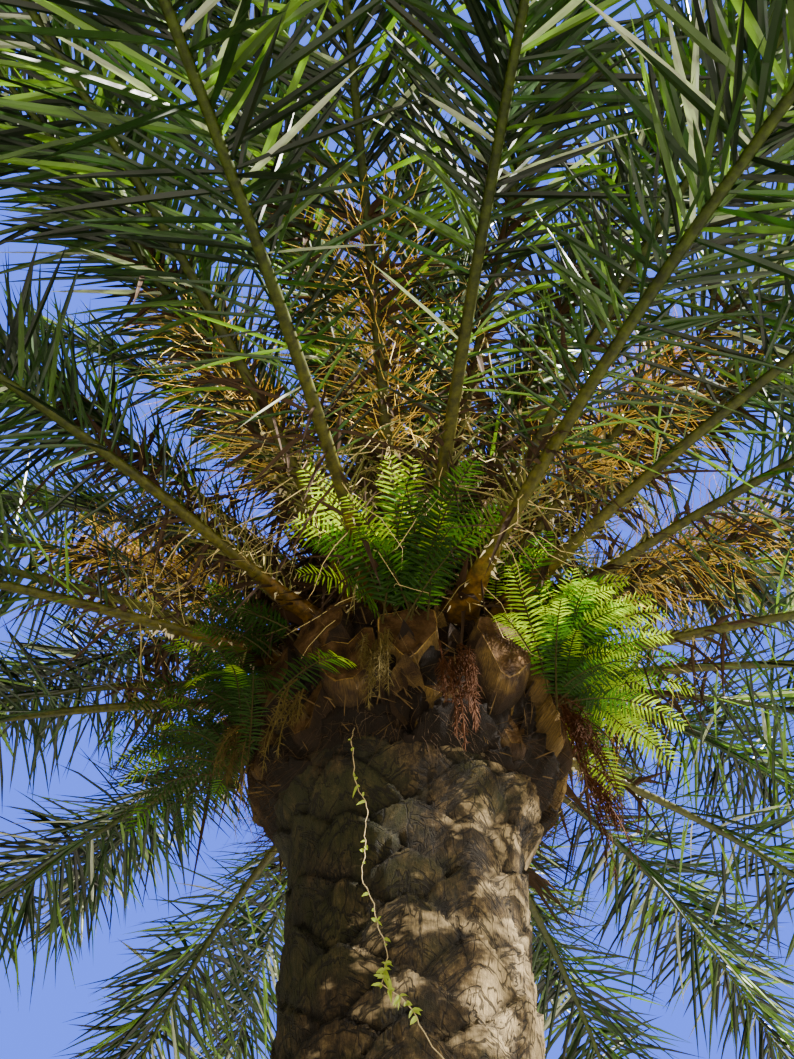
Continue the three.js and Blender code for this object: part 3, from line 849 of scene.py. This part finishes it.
def bulb_body(material):
    """The bulb's fibrous body, with the torn sheaths of older leaves in relief."""
    piece, turns, share = wrapped_grid("leaf_base_body", BODY_GRID)
    height = mix(BODY_FOOT, BODY_TOP, share)
    relief, dark, _ = scar_relief(turns, height, around=9, row=0.15, arched=0.17, depth=0.06,
                                    torn=0.34)
    relief += 0.014 * (patches(turns, height, 90, 0.09, 21) - 0.5)
    relief += 0.010 * (patches(turns, height, 200, 0.2, 22) - 0.5)
    radius = bulb_radius(height) - BODY_INSET + relief * smooth((height - BODY_FOOT) / 0.05)
    points = beside_stem(2 * pi * turns, radius, height)
    # The gaps under the torn sheaths take painted shade.
    close_round(piece, points, {"grain": points, "painted_shade_and_mottle": dark})
    piece.data.materials.append(material)
    finished(piece, ["leaf_base_bulb"])


def sawn_bases(settings, materials):
    """The sawn leaf bases, copies of one template that all differ a little."""
    points, faces, slots = leaf_base_template(materials)
    copies, grains, painted_shade_and_mottle = [], [], []
    turn = np.arctan2(points[:, 1], points[:, 0])
    for n in range(STUBS):
        rule = stub_rule(n)
        # The lowest ones are slighter, and their feet run into the stem.
        low = float(smooth(n / STUBS * 2.2 - 0.9))
        widened, thickened, turned = chances(n, 31, 3)
        out = outward(rule["azimuth"] + radians(16) * (turned - 0.5))
        lift = rule["lift"] - settings.steeper
        along = leant(UP, out, lift)
        left = unit(np.cross(UP, along))
        over = np.cross(along, left)
        rough = 1 + 0.06 * (chance(np.arange(len(points)), 30 + n) - 0.5)
        wide = points[:, 0] * settings.width * mix(0.85, 1.15, widened) * rough
        tall = points[:, 1] * settings.thickness * mix(0.9, 1.25, thickened) * rough * mix(1, 0.66, low)
        ragged = 0.010 * np.sin(3 * turn + 5 * n) + 0.008 * np.sin(7 * turn + 3 * n)
        walk = mix(-0.13 + 0.07 * low, (rule["proud"] + tall * cos(lift)) / sin(lift) + ragged,
                   points[:, 2])
        foot = rule["origin"] - UP * mix(settings.lower, 0.01, low) - out * 0.055 * low
        copies.append((foot + left * wide[:, None] + over * tall[:, None] + along * walk[:, None], faces))
        grains.append(np.stack([wide, tall, walk], axis=1) + 3.7 * n)
        # Painted shade: each base is painted darker towards its foot, where its underside lies in shade.
        painted_shade_and_mottle.append(0.9 * smooth(1.25 - 1.3 * points[:, 2]))
    return piece_of("sawn_leaf_bases", joined(copies), materials, ["leaf_base_bulb"],
                    rounded=True, face_materials=np.tile(slots, STUBS),
                    attributes={"grain": np.concatenate(grains), "painted_shade_and_mottle": np.concatenate(painted_shade_and_mottle)})


def scraps(name, count, material, lengths, widths, above, loose):
    """Torn scraps and flakes of older leaf bases, between the sawn ones and on them. The less
    loose ones stand as the leaf bases do, and the looser ones lie every way."""
    n = np.arange(count)
    azimuth, height = 2 * pi * chance(n, 34), mix(3.30, 4.04, chance(n, 35))
    out = outward(azimuth)
    roots = beside_stem(azimuth, bulb_radius(height) + above, height)
    ways = unit(out * mix(0.35, 0.9, chance(n, 36))[:, None]
                + UP * (0.8 + (loose - 1) * (chance(n, 50) - 0.7))[:, None]
                + outward(azimuth + pi / 2) * loose * (chance(n, 37) - 0.5)[:, None])
    points, faces = leaf_blades(roots, ways, out + 0.5 * (chance(n, 38) - 0.5)[:, None] * UP,
                                mix(*lengths, chance(n, 39)), mix(*widths, chance(n, 47)),
                                0.1 * chance(n, 48))
    grain = points + np.repeat(3.7 * n, len(points) // count)[:, None]
    # The scraps' darkening is random mottle.
    piece_of(name, (points, faces), [material], ["leaf_base_bulb"],
             attributes={"grain": grain, "painted_shade_and_mottle": 0.5 * chance(np.arange(len(points)), 49)})


def loose_fibres(count):
    """Loose brown fibres that hang out from between the leaf bases."""
    n = np.arange(count)
    azimuth = 2 * pi * chance(n, 41)
    # Every third one hangs from the bulb's lower rim.
    height = np.where(n % 3 == 0, mix(3.29, 3.40, chance(n, 42)), mix(3.30, 4.0, chance(n, 42)))
    roots = beside_stem(azimuth, bulb_radius(height) - 0.03, height)
    away = outward(azimuth + 1.4 * (chance(n, 43) - 0.5))
    rise = (chance(n, 44) - 0.45)[:, None] * UP
    length = mix(0.06, 0.2, chance(n, 45) ** 2)[:, None]
    sag = np.where(n % 3 == 0, 2.0, 0.3) + chance(n, 46)
    shape = threads(roots, unit(away + rise), length, sag, radius=0.0012, stations=5, curl=0.1)
    piece_of("leaf_base_fibres", shape, [dry_material("dry_leaf_fibre", "382a1a")],
             ["leaf_base_bulb"])


class PALM_OT_leaf_bases(Operator):
    """The bulb under the crown: its fibrous body and the sawn leaf bases that stand out of it"""

    bl_idname = "date_palm.leaf_bases"
    bl_label = "Leaf bases"

    def execute(self, context):
        settings = context.scene.palm_leaf_bases
        bulb_body(leaf_base_material("leaf_sheath_fibre", "130d07", "221810", "3c2e1c"))
        back = leaf_base_material("leaf_base_back", "1a120a", "34271a", "66552f")
        rim = leaf_base_material("leaf_base_rim", "32260f", "5e4a24", "98824a")
        bases = sawn_bases(settings, [back, cut_face_material(settings), rim])
        clear_selection()
        bases.select_set(True)
        context.view_layer.objects.active = bases
        bpy.ops.object.shade_smooth_by_angle(angle=radians(30))
        scraps("leaf_base_scraps", settings.scraps, back, lengths=(0.09, 0.20),
               widths=(0.05, 0.13), above=-0.045, loose=1.0)
        scraps("leaf_base_flakes", 2 * settings.scraps, dry_material("dry_leaf_flake", "4c3c22"),
               lengths=(0.03, 0.12), widths=(0.002, 0.006), above=0.02, loose=3.0)
        loose_fibres(settings.fibres)
        return {"FINISHED"}


# The crown

def spines(rule, count):
    """Stiff spines along both edges of the stalk, in place of its lowest leaflets."""
    n = np.arange(count * 2)
    key = n + 91 * rule["k"]
    shares = mix(0.055, BARE_TO, (n // 2 + 0.6 * chance(key, 51)) / count)
    places, along, left, over = arch(rule, shares)
    width, _ = rib_size(rule, shares)
    side = left * hands(n)
    splay = radians(40) + radians(25) * (chance(key, 52) - 0.5)
    ways = leant(along, side, splay) + over * (0.6 * (chance(n, 53) - 0.2))[:, None]
    length = mix(0.05, 0.17, (n // 2 / count)) * mix(1, 0.6, rule["young"])
    return threads(places + side * (0.44 * width)[:, None], unit(ways), length, sag=0, radius=0.0045,
                   stations=2)


class PALM_OT_ribs(Operator):
    """The fronds' ribs: clasping feet, bare stalks with spines, and tapering tips"""

    bl_idname = "date_palm.ribs"
    bl_label = "Frond ribs"

    def execute(self, context):
        count = context.scene.palm_fronds.spines
        shares = np.concatenate([[-0.013, 0, 0.012, 0.03, 0.06, 0.09, 0.12], np.linspace(0.16, 0.985, 23)])
        rules = [leaf_rule(k) for k in range(FRONDS)]
        ribs = rods(rules, shares, [rib_size(rule, shares) for rule in rules], tip=0.06)
        lengths = np.append(np.repeat(shares, len(RIB_PROFILE)), 1.0)
        piece_of("frond_ribs", ribs, [rib_material()], FROND_NODES, rounded=True,
                 attributes={"along": np.tile(lengths, FRONDS)})
        piece_of("frond_spines", joined([spines(rule, count) for rule in rules]),
                 [blade_material("stalk_spine", "50521f", roughness=0.45, through=0.1)], FROND_NODES)
        return {"FINISHED"}


# Leaf tints: the name of each, its colour, its glow against the light, how rough it is. The last
# tint is pale: painted highlights that stand for the sun's glints on a few leaflets.
LEAF_TINTS = {
    "leaflets_dark": ("0e1c0a", "26380c", 0.28),
    "leaflets_deep": ("162c0c", "3a5c16", 0.28),
    "leaflets_middle": ("223c12", "58821a", 0.30),
    "leaflets_olive": ("3a5220", "7c9c24", 0.32),
    "leaflets_fresh": ("5e8228", "aed034", 0.30),
    "leaflets_bloomed": ("a8b09a", "c0d09a", 0.35),
}
# The shares of the first four tints, on old fronds and on the youngest. The fifth has the rest.
OLD_SHARES = np.array([0.24, 0.26, 0.25, 0.17])
YOUNG_SHARES = np.array([0.13, 0.19, 0.29, 0.19])
# Leaflets splay in three planes, at these rises in degrees.
LEAFLET_PLANES = np.array([-30.0, 8.0, 44.0])


def leaflets_along(rule, settings):
    """The leaflets of one frond, as arrays for leaf_blades with the number of each one's tint."""
    k, young = rule["k"], rule["young"]
    count = settings.leaflets if k >= SPEARS else int(0.7 * settings.leaflets)
    n = np.arange(2 * count)
    order = n // 2
    key = n + 977 * k
    # Leaflets stand in threes: close together at the root, and splayed in three planes.
    member = order % 3
    spot = order - member + 1 + 0.72 * (member - 1) + 0.5 * (chance(key, 61) - 0.5)
    leafy = np.clip((spot + 0.5 * (n % 2)) / count, 0.002, 0.995)
    shares = mix(BARE_TO, 1, leafy)
    places, along, left, over = arch(rule, shares)
    width, _ = rib_size(rule, shares)
    side = left * hands(n)
    # The lowest leaflets are thin and far apart, half way to spines.
    full = np.maximum(smooth(leafy / 0.38), min(1.0, 1.8 * young))
    length = mix(0.20, 0.57, np.sin(pi * (0.12 + 0.86 * leafy)) ** 0.55) * mix(1, 0.75, young)
    length *= mix(0.85, 1.15, chance(key, 62)) * mix(0.7, 1, full)
    sweep = radians(1) * mix(66, 32, leafy) * mix(1, 0.45, young)
    sweep += radians(46) * (chance(key, 63) - 0.5)
    planes = LEAFLET_PLANES[(member + (n % 2)) % 3]
    rise = radians(1) * (planes + 60 * (chance(key, 64) - 0.5)) * mix(1, 0.6, young)
    roll = radians(110) * (chance(key, 65) - 0.5)
    overs = leant(over, left, roll)
    widths = settings.width * mix(0.8, 1.1, chance(key, 66)) * mix(1, 0.7, leafy ** 3) * mix(1, 0.8, young)
    widths *= mix(0.42, 1, full)
    droop = mix(0.02, 0.36, chance(key, 67) ** 2) * mix(1, 0.4, young)
    sprays = order // settings.spray + 37 * (n % 2) + 101 * k
    # Two leaflets in three take their spray's tint, and the third its own.
    draw = np.where(chance(key, 60) < 0.66, chance(sprays, 68), chance(key, 59))
    limits = np.cumsum(mix(OLD_SHARES, YOUNG_SHARES, young))
    # A few leaflets take the pale tint, as painted glints of sunlight; fewest near the rib's foot.
    painted_glint = chance(key, 58) < 0.07 * smooth(leafy / 0.5)
    tint = np.where(painted_glint, len(LEAF_TINTS) - 1, np.searchsorted(limits, draw))
    kept = chance(key, 69) < mix(0.34, 1, full)
    parts = (places + side * (0.42 * width)[:, None], fanned(along, side, over, sweep, rise), overs,
             length, widths, droop, tint)
    return [part[kept] for part in parts]


class PALM_OT_leaflets(Operator):
    """The fronds' leaflets, folded and stiff, in groups that splay in several planes"""

    bl_idname = "date_palm.leaflets"
    bl_label = "Leaflets"

    def execute(self, context):
        rows = [leaflets_along(leaf_rule(k), context.scene.palm_fronds) for k in range(FRONDS)]
        *blades, tint = (np.concatenate(part) for part in zip(*rows))
        for number, (name, (colour, glow, roughness)) in enumerate(LEAF_TINTS.items()):
            material = blade_material(name.replace("leaflets", "palm_leaflet"), colour, roughness,
                                      through=0.34, glow=glow, shine=0.42)
            piece_of(name, leaf_blades(*(part[tint == number] for part in blades)), [material],
                     FROND_NODES)
        return {"FINISHED"}


def strands(rule, index, settings):
    """The brush of strands on one fruit stalk: the golden ones, then the brown ones."""
    n = np.arange(settings.strands)
    key = n + 613 * index
    shares = mix(0.42, 0.99, (n + chance(key, 71)) / settings.strands)
    places, along, left, over = arch(rule, shares)
    turn = 2 * pi * chance(key, 72)
    splay = radians(1) * mix(14, 76, chance(key, 73))
    ways = unit(leant(along, leant(left, over, turn), splay))
    length = settings.strand * mix(0.55, 1.35, chance(key, 74))
    sag = mix(0.1, 1.3, chance(key, 75))
    golden = (key // 9) % 3 > 0
    return [threads(places[own], ways[own], length[own], sag[own], radius=0.0027, stations=5, curl=0.14)
            for own in (golden, ~golden)]


class PALM_OT_fruit(Operator):
    """Fruit stalks in the leaf axils, each with a brush of golden strands"""

    bl_idname = "date_palm.fruit"
    bl_label = "Fruit stalks"

    def execute(self, context):
        shares = np.linspace(0.02, 0.97, 14)
        rules = [stalk_rule(index) for index in range(STALKS)]
        size = (mix(0.046, 0.012, shares), mix(0.024, 0.012, shares))
        piece_of("fruit_stalks", rods(rules, shares, [size] * STALKS, tip=0.05),
                 [dry_material("fruit_stalk_skin", "a8863c", roughness=0.5)],
                 STALK_NODES, rounded=True)
        brushes = [strands(rule, index, context.scene.palm_fruit) for index, rule in enumerate(rules)]
        tints = (("fruit_strands_golden", "e8c450"), ("fruit_strands_brown", "806034"))
        for (name, colour), brush in zip(tints, zip(*brushes)):
            material = dry_material(name, colour, roughness=0.6)
            piece_of(name, joined(brush), [material], STALK_NODES)
        return {"FINISHED"}


# Ferns

# Lit and shaded copies of the pinna colour with their glows: painted sunlight, middle, and painted shade.
FERN_TINTS = {"bright": ("8cb014", "dcf014"), "middle": ("42700e", "86b814"), "shade": ("1e3806", "4a800a")}


def fan_rule(clump, index):
    """A fern frond that springs from its clump's leaf base, or a little beside or below it."""
    draw = chances(index, clump["stub"] + 83, 6)
    stub = stub_rule(clump["stub"])
    azimuth = stub["azimuth"] + 2.6 * clump["spread"] * (draw[0] - 0.5) + radians(clump["turn"])
    height = stub["origin"][2] + 0.10 + clump["raised"] - 1.6 * clump["spread"] * (draw[1] - 0.25)
    lift = max(4, clump["lift"] + 46 * (draw[3] - 0.5))
    return {
        "azimuth": azimuth + radians(clump["swing"]) * (draw[2] - 0.5),
        "origin": beside_stem(azimuth, bulb_radius(height) + 0.10, height),
        "lift": radians(lift),
        "tilt": radians(lift + clump["droop"] * mix(0.75, 1.3, draw[4])),
        "length": clump["reach"] * mix(0.6, 1.15, draw[5]),
    }


def fern_fan(rule, pairs, longest, salt, crinkled=0.0):
    """One fern frond as (points, faces) parts: its thin rib, then four sprays of pinnae."""
    shares = np.linspace(0, 0.97, 10)
    width = mix(0.007, 0.003, shares)
    rib = rods([rule], shares, [(width, width)], tip=0.02, profile=FERN_RIB_PROFILE)
    n = np.arange(2 * pairs)
    leafy = (n // 2 + 0.5) / pairs
    places, along, left, over = arch(rule, mix(0.12, 0.995, leafy))
    key = n + 100 * salt
    sweep = radians(1) * (mix(84, 58, leafy) + (10 + 90 * crinkled) * (chance(key, 87) - 0.5))
    rise = radians(18 + 150 * crinkled) * (chance(key, 88) - 0.35)
    ways = fanned(along, left * hands(n), over, sweep, rise)
    lengths = longest * np.sin(pi * (0.16 + 0.8 * leafy)) ** 0.6 * mix(0.9, 1.08, chance(key, 89))
    overs = over + 0.3 * (chance(key, 90) - 0.5)[:, None] * along
    widths = 0.125 * longest * mix(1, 0.6, leafy)
    droop = 0.1 + (0.25 + crinkled) * chance(key, 92)
    quarter = np.minimum(3, 4 * n // len(n))
    return rib, *(
        leaf_blades(*(part[quarter == i] for part in (places, ways, overs, lengths, widths, droop)))
        for i in range(4)
    )


class PALM_OT_ferns(Operator):
    """Sword ferns on the sawn leaf bases, with close pinnae like a ladder's rungs"""

    bl_idname = "date_palm.ferns"
    bl_label = "Ferns"

    def execute(self, context):
        settings = context.scene.palm_ferns
        materials = [dry_material("fern_stalk", "2e2a10", roughness=0.7)] + [
            blade_material(f"fern_pinna_{tint}", colour, roughness=0.6, through=0.5, glow=glow)
            for tint, (colour, glow) in FERN_TINTS.items()
        ]
        for number, (name, clump) in enumerate(FERN_CLUMPS.items()):
            parts, slots = [], []
            for index in range(round(clump["fans"] * settings.fullness)):
                rule = fan_rule(clump, index)
                longest = settings.pinna * rule["length"] / FULL_FERN
                # Four sprays from foot to tip in painted light: the foot is painted shaded, and the tips
                # painted bright as in sunlight.
                dim = clump["shade"] + 0.9 * (float(chance(index, 81 + number)) - 0.5)
                tones = [int(np.clip(round(3.4 * dim + 2.2 - 0.8 * place), 1, 3)) for place in range(4)]
                fan = fern_fan(rule, settings.pairs, longest, index + 60 * number)
                for part, slot in zip(fan, [0, *tones]):
                    parts.append(part)
                    slots += [slot] * sum(len(face) for face in part[1])
            piece_of(f"{name}_fronds", joined(parts), materials, [name],
                     face_materials=slots)
        return {"FINISHED"}


# Litter and small plants

def dead_ferns():
    """Reddish dead fern fronds and paler wilted ones that hang down the bulb."""
    for name, colour, tufts in (
        ("dead_fern_fronds", "3a200c", ((13, 3.60, 22), (58, 3.60, 30), (76, 3.46, 16))),
        ("wilted_fern_fronds", "463c1a", ((-10, 3.66, 12), (-36, 3.52, 7), (-62, 3.60, 10))),
    ):
        parts = []
        for azimuth, height, fans in tufts:
            for index in range(fans):
                draw = chances(index + azimuth, 101, 4)
                where = radians(azimuth + 9 * (draw[0] - 0.5))
                rule = {
                    "azimuth": where,
                    "origin": beside_stem(where, 0.65, height - 0.16 * draw[1]),
                    "lift": radians(130 + 45 * draw[2]),
                    "tilt": radians(186),
                    "length": mix(0.12, 0.36, draw[3]),
                }
                parts += fern_fan(rule, pairs=16, longest=0.036, salt=index + azimuth + 300,
                                  crinkled=1.0)
        piece_of(name, joined(parts), [dry_material(name, colour, roughness=0.75)])


def among_stalks(count, upto, salt):
    """Roots on the leaf stalks, within a share of their length, with ways out, along and over."""
    rows = []
    for k in range(SPEARS - 6, FRONDS):
        rule = leaf_rule(k)
        inner = smooth(1.6 - 2 * rule["age"])
        n = np.arange(round(count * mix(0.25, 1.4, inner))) + 2 * count * k
        shares = mix(0.0, upto * mix(0.5, 1.1, inner), chance(n, salt))
        places, along, left, over = arch(rule, shares)
        width, thickness = rib_size(rule, shares)
        turn = 2 * pi * chance(n, salt + 1)
        level, rise = left * np.cos(turn)[:, None], over * np.sin(turn)[:, None]
        roots = places + 0.4 * (level * width[:, None] + rise * thickness[:, None])
        rows.append((roots, level + rise, along, over))
    return [np.concatenate(part) for part in zip(*rows)]


def straw():
    """Pale dry strands caught among the leaf stalks in the middle of the crown."""
    roots, aside, along, _ = among_stalks(count=80, upto=0.34, salt=111)
    n = np.arange(len(roots))
    ways = unit(aside + along * (1.2 * chance(n, 113) - 0.5)[:, None])
    shape = threads(roots, ways, mix(0.06, 0.42, chance(n, 114) ** 2), mix(0.1, 0.9, chance(n, 115)),
                    radius=0.0019, curl=0.10)
    piece_of("crown_straw", shape, [dry_material("dry_straw", "b4a26a")])


# What has caught round the leaf stalks: its name and colour, how many on a stalk and how far up
# it, the salt of its draws, its lengths and widths, and how far it leans along the stalk.
LITTER = (
    ("crown_flakes", "dccfa6", 110, 0.26, 131, (0.012, 0.040), (0.010, 0.024), (-1, 1)),
    ("dead_leaflets_pale", "7a7040", 34, 0.36, 141, (0.12, 0.36), (0.007, 0.012), (-1, 1)),
    ("dead_leaflets_brown", "33261a", 110, 0.44, 151, (0.12, 0.36), (0.014, 0.030), (-0.5, 1.5)),
    ("old_leaf_sheaths", "2a1c0e", 20, 0.08, 181, (0.12, 0.40), (0.025, 0.08), (1.6, 4.5)),
)


def flakes():
    """Flakes of dry leaf, dead leaflets and old sheaths that have caught round the leaf stalks."""
    for name, colour, count, upto, salt, lengths, widths, leans in LITTER:
        roots, aside, along, over = among_stalks(count, upto, salt)
        n = np.arange(len(roots))
        ways = unit(aside + along * mix(*leans, chance(n, salt + 2))[:, None])
        shape = leaf_blades(roots, ways, over + 0.6 * along, mix(*lengths, chance(n, salt + 3) ** 1.6),
                            mix(*widths, chance(n, salt + 4)), mix(0.1, 1.1, chance(n, salt + 5)),
                            stations=2)
        piece_of(name, shape, [dry_material(name, colour)])


def dead_stalks():
    """Old brown fruit stalks that stand among the leaf stalks."""
    shares = np.linspace(0, 1, 9)
    rules, sizes = [], []
    for n in range(30):
        draw = chances(n, 161, 6)
        azimuth = 2 * pi * draw[0]
        lift = mix(4, 26, draw[1])
        rules.append({
            "azimuth": azimuth,
            "origin": beside_stem(azimuth, mix(0.05, 0.34, draw[2]), 4.05),
            "lift": radians(lift),
            "tilt": radians(lift + 30 * draw[3]),
            "length": mix(0.7, 1.7, draw[4]),
        })
        width = mix(0.050, 0.012, shares) * mix(0.7, 1.2, draw[5])
        sizes.append((width, 0.5 * width))
    piece_of("dead_fruit_stalks", rods(rules, shares, sizes, tip=0.04),
             [dry_material("dead_stalk", "50351f", roughness=0.7)], rounded=True)


class PALM_OT_litter(Operator):
    """What hangs dead in the crown: dead ferns and leaflets, straw, flakes and old stalks"""

    bl_idname = "date_palm.litter"
    bl_label = "Dead fronds and straw"

    def execute(self, context):
        dead_ferns()
        straw()
        flakes()
        dead_stalks()
        return {"FINISHED"}


def weed():
    """A small broad-leaved weed that has seeded among the leaf stalks on the right."""
    azimuth = radians(56)
    n = np.arange(26)
    root = beside_stem(azimuth, 0.56, 4.0)
    ways = unit(outward(azimuth + 1.9 * (chance(n, 171) - 0.5))
                + UP * (1.1 * chance(n, 172) - 0.45)[:, None])
    reach = mix(0.04, 0.26, chance(n, 173))[:, None]
    stems = threads(np.repeat(root[None], len(n), axis=0), ways, reach, sag=0.3, radius=0.003)
    leaves = leaf_blades(root + ways * reach - UP * reach * 0.15, ways, UP + 0.5 * ways,
                         mix(0.05, 0.10, chance(n, 174)), mix(0.025, 0.045, chance(n, 175)),
                         mix(0.2, 0.9, chance(n, 176)))
    leaf = blade_material("weed_leaf", "7ea032", roughness=0.5, through=0.42, glow="b8dc3c")
    piece_of("weed_stems", stems, [dry_material("weed_stem", "76803c", roughness=0.6)])
    piece_of("weed_leaves", leaves, [leaf])


def vine():
    """A thin pale vine down the front of the stem, with a few small leaves."""
    height = np.linspace(3.36, 2.36, 60)
    azimuth = np.interp(height, [2.36, 2.52, 2.56, 2.96, 3.3], np.radians([14, 0, -8, -19, -21]))
    azimuth += 0.03 * np.sin(height * 17) + 0.014 * np.sin(height * 41) + 0.006 * np.sin(height * 127)
    places = beside_stem(azimuth, bark_radius(height) + 0.044, height)
    along = unit(np.gradient(places, axis=0))
    left = unit(np.cross(outward(azimuth), along))
    over = np.cross(along, left)
    stem = swept(places[None], 0.0015 * left[None], 0.0015 * over[None],
                 round_profile(np.arange(5) * 2 * pi / 5))
    piece_of("vine_stem", stem, [dry_material("dry_vine", "a3926c")], rounded=True)
    n = np.arange(60)
    # A few leaves along the stem, and most in a cluster near its end.
    spots = np.where(n < 22, 3 + 50 * chance(n, 121), 44 + 9 * chance(n, 121)).astype(int)
    ways = unit(left[spots] * hands(n) + over[spots] * 0.5
                + along[spots] * (2.4 * chance(n, 122) - 1)[:, None])
    leaves = leaf_blades(places[spots], ways, over[spots] + (chance(n, 125) - 0.5)[:, None] * left[spots],
                         mix(0.008, 0.032, chance(n, 123)), mix(0.006, 0.014, chance(n, 124)),
                         0.8 * chance(n, 126))
    leaf = blade_material("vine_leaf", "97a83c", roughness=0.5, through=0.35, glow="b8cc48")
    piece_of("vine_leaves", leaves, [leaf])


class PALM_OT_small_plants(Operator):
    """Small plants that have seeded on the palm: a weed in its crown and a vine on its stem"""

    bl_idname = "date_palm.small_plants"
    bl_label = "Weed and vine"

    def execute(self, context):
        weed()
        vine()
        return {"FINISHED"}


# The stage, the panel and the order of work

def add_light(name, kind, location, angles, **settings):
    light = bpy.data.objects.new(name, bpy.data.lights.new(name, kind))
    light.location = location
    light.rotation_euler = [radians(angle) for angle in angles]
    for label, value in settings.items():
        setattr(light.data, label, value)
    bpy.context.scene.collection.objects.link(light)


class PALM_OT_stage(Operator):
    """A plain pale floor, soft studio light, and a camera that looks up from the foot of the palm"""

    bl_idname = "date_palm.stage"
    bl_label = "Stage"

    def execute(self, context):
        settings = context.scene.palm_stage
        clear_selection()
        bpy.ops.mesh.primitive_plane_add(size=settings.floor, location=(0, 0, 0))
        floor = context.object
        floor.name = floor.data.name = "studio_floor"
        # Matt floor paint, which scatters the light evenly.
        paint = surfaced(new_material("studio_floor_paint")[0], "8e8a80", roughness=0.9, shine=0.5)
        floor.data.materials.append(paint)

        world = bpy.data.worlds.new("studio_world")
        world.use_nodes = True
        tree = world.node_tree
        tree.nodes.clear()
        seen_by_camera = add(tree, "LightPath").outputs["Is Camera Ray"]
        light = add(tree, "Background", {"Color": "e2e0dc", "Strength": 0.09})
        backdrop = add(tree, "Background", {"Color": "4868f4", "Strength": 2.2})
        both = add(tree, "MixShader", {0: seen_by_camera, 1: light, 2: backdrop})
        add(tree, "OutputWorld", {"Surface": both})
        context.scene.world = world

        add_light("key_light", "SUN", (4, -5, 9), (54, 0, 66),
                  energy=settings.key, angle=radians(2), color=(1.0, 0.95, 0.86))
        add_light("fill_light", "AREA", (-1.6, -4.2, 1.2), (118, 0, -22),
                  energy=settings.fill, size=2.6, color=(1.0, 0.97, 0.92))

        camera = bpy.data.objects.new("camera", bpy.data.cameras.new("camera"))
        camera.location = (0, -2.75, 1.5)
        camera.rotation_euler = (radians(142), 0, 0)
        camera.data.lens = 29.58
        camera.data.clip_end = 200
        context.scene.collection.objects.link(camera)
        context.scene.camera = camera
        return {"FINISHED"}


class PALM_PT_panel(Panel):
    """Sizes, colours and steps of the date palm"""

    bl_idname = "PALM_PT_panel"
    bl_label = "Date Palm"
    bl_space_type = "VIEW_3D"
    bl_region_type = "UI"
    bl_category = "Date Palm"

    def draw(self, context):
        for group, operators in STEPS:
            box = self.layout.box()
            settings = getattr(context.scene, group)
            for name in settings.bl_rna.properties.keys():
                if name not in {"rna_type", "name"}:
                    box.prop(settings, name)
            for operator in operators:
                box.operator(operator.bl_idname)


SETTINGS = {
    "palm_stage": StageSettings,
    "palm_trunk": TrunkSettings,
    "palm_leaf_bases": LeafBaseSettings,
    "palm_fronds": FrondSettings,
    "palm_fruit": FruitSettings,
    "palm_ferns": FernSettings,
}
STEPS = [
    ("palm_stage", [PALM_OT_stage]),
    ("palm_trunk", [PALM_OT_trunk]),
    ("palm_leaf_bases", [PALM_OT_leaf_bases]),
    ("palm_fronds", [PALM_OT_ribs, PALM_OT_leaflets]),
    ("palm_fruit", [PALM_OT_fruit]),
    ("palm_ferns", [PALM_OT_ferns, PALM_OT_litter, PALM_OT_small_plants]),
]
CLASSES = [*SETTINGS.values(), *(operator for _, group in STEPS for operator in group), PALM_PT_panel]


def register():
    for item in CLASSES:
        bpy.utils.register_class(item)
    for name, kind in SETTINGS.items():
        setattr(bpy.types.Scene, name, PointerProperty(type=kind))


def unregister():
    for name in SETTINGS:
        delattr(bpy.types.Scene, name)
    for item in reversed(CLASSES):
        bpy.utils.unregister_class(item)


def main():
    register()
    bpy.ops.date_palm.stage()
    bpy.ops.date_palm.trunk()
    bpy.ops.date_palm.leaf_bases()
    bpy.ops.date_palm.ribs()
    bpy.ops.date_palm.leaflets()
    bpy.ops.date_palm.fruit()
    bpy.ops.date_palm.ferns()
    bpy.ops.date_palm.litter()
    bpy.ops.date_palm.small_plants()


if __name__ == "__main__":
    main()
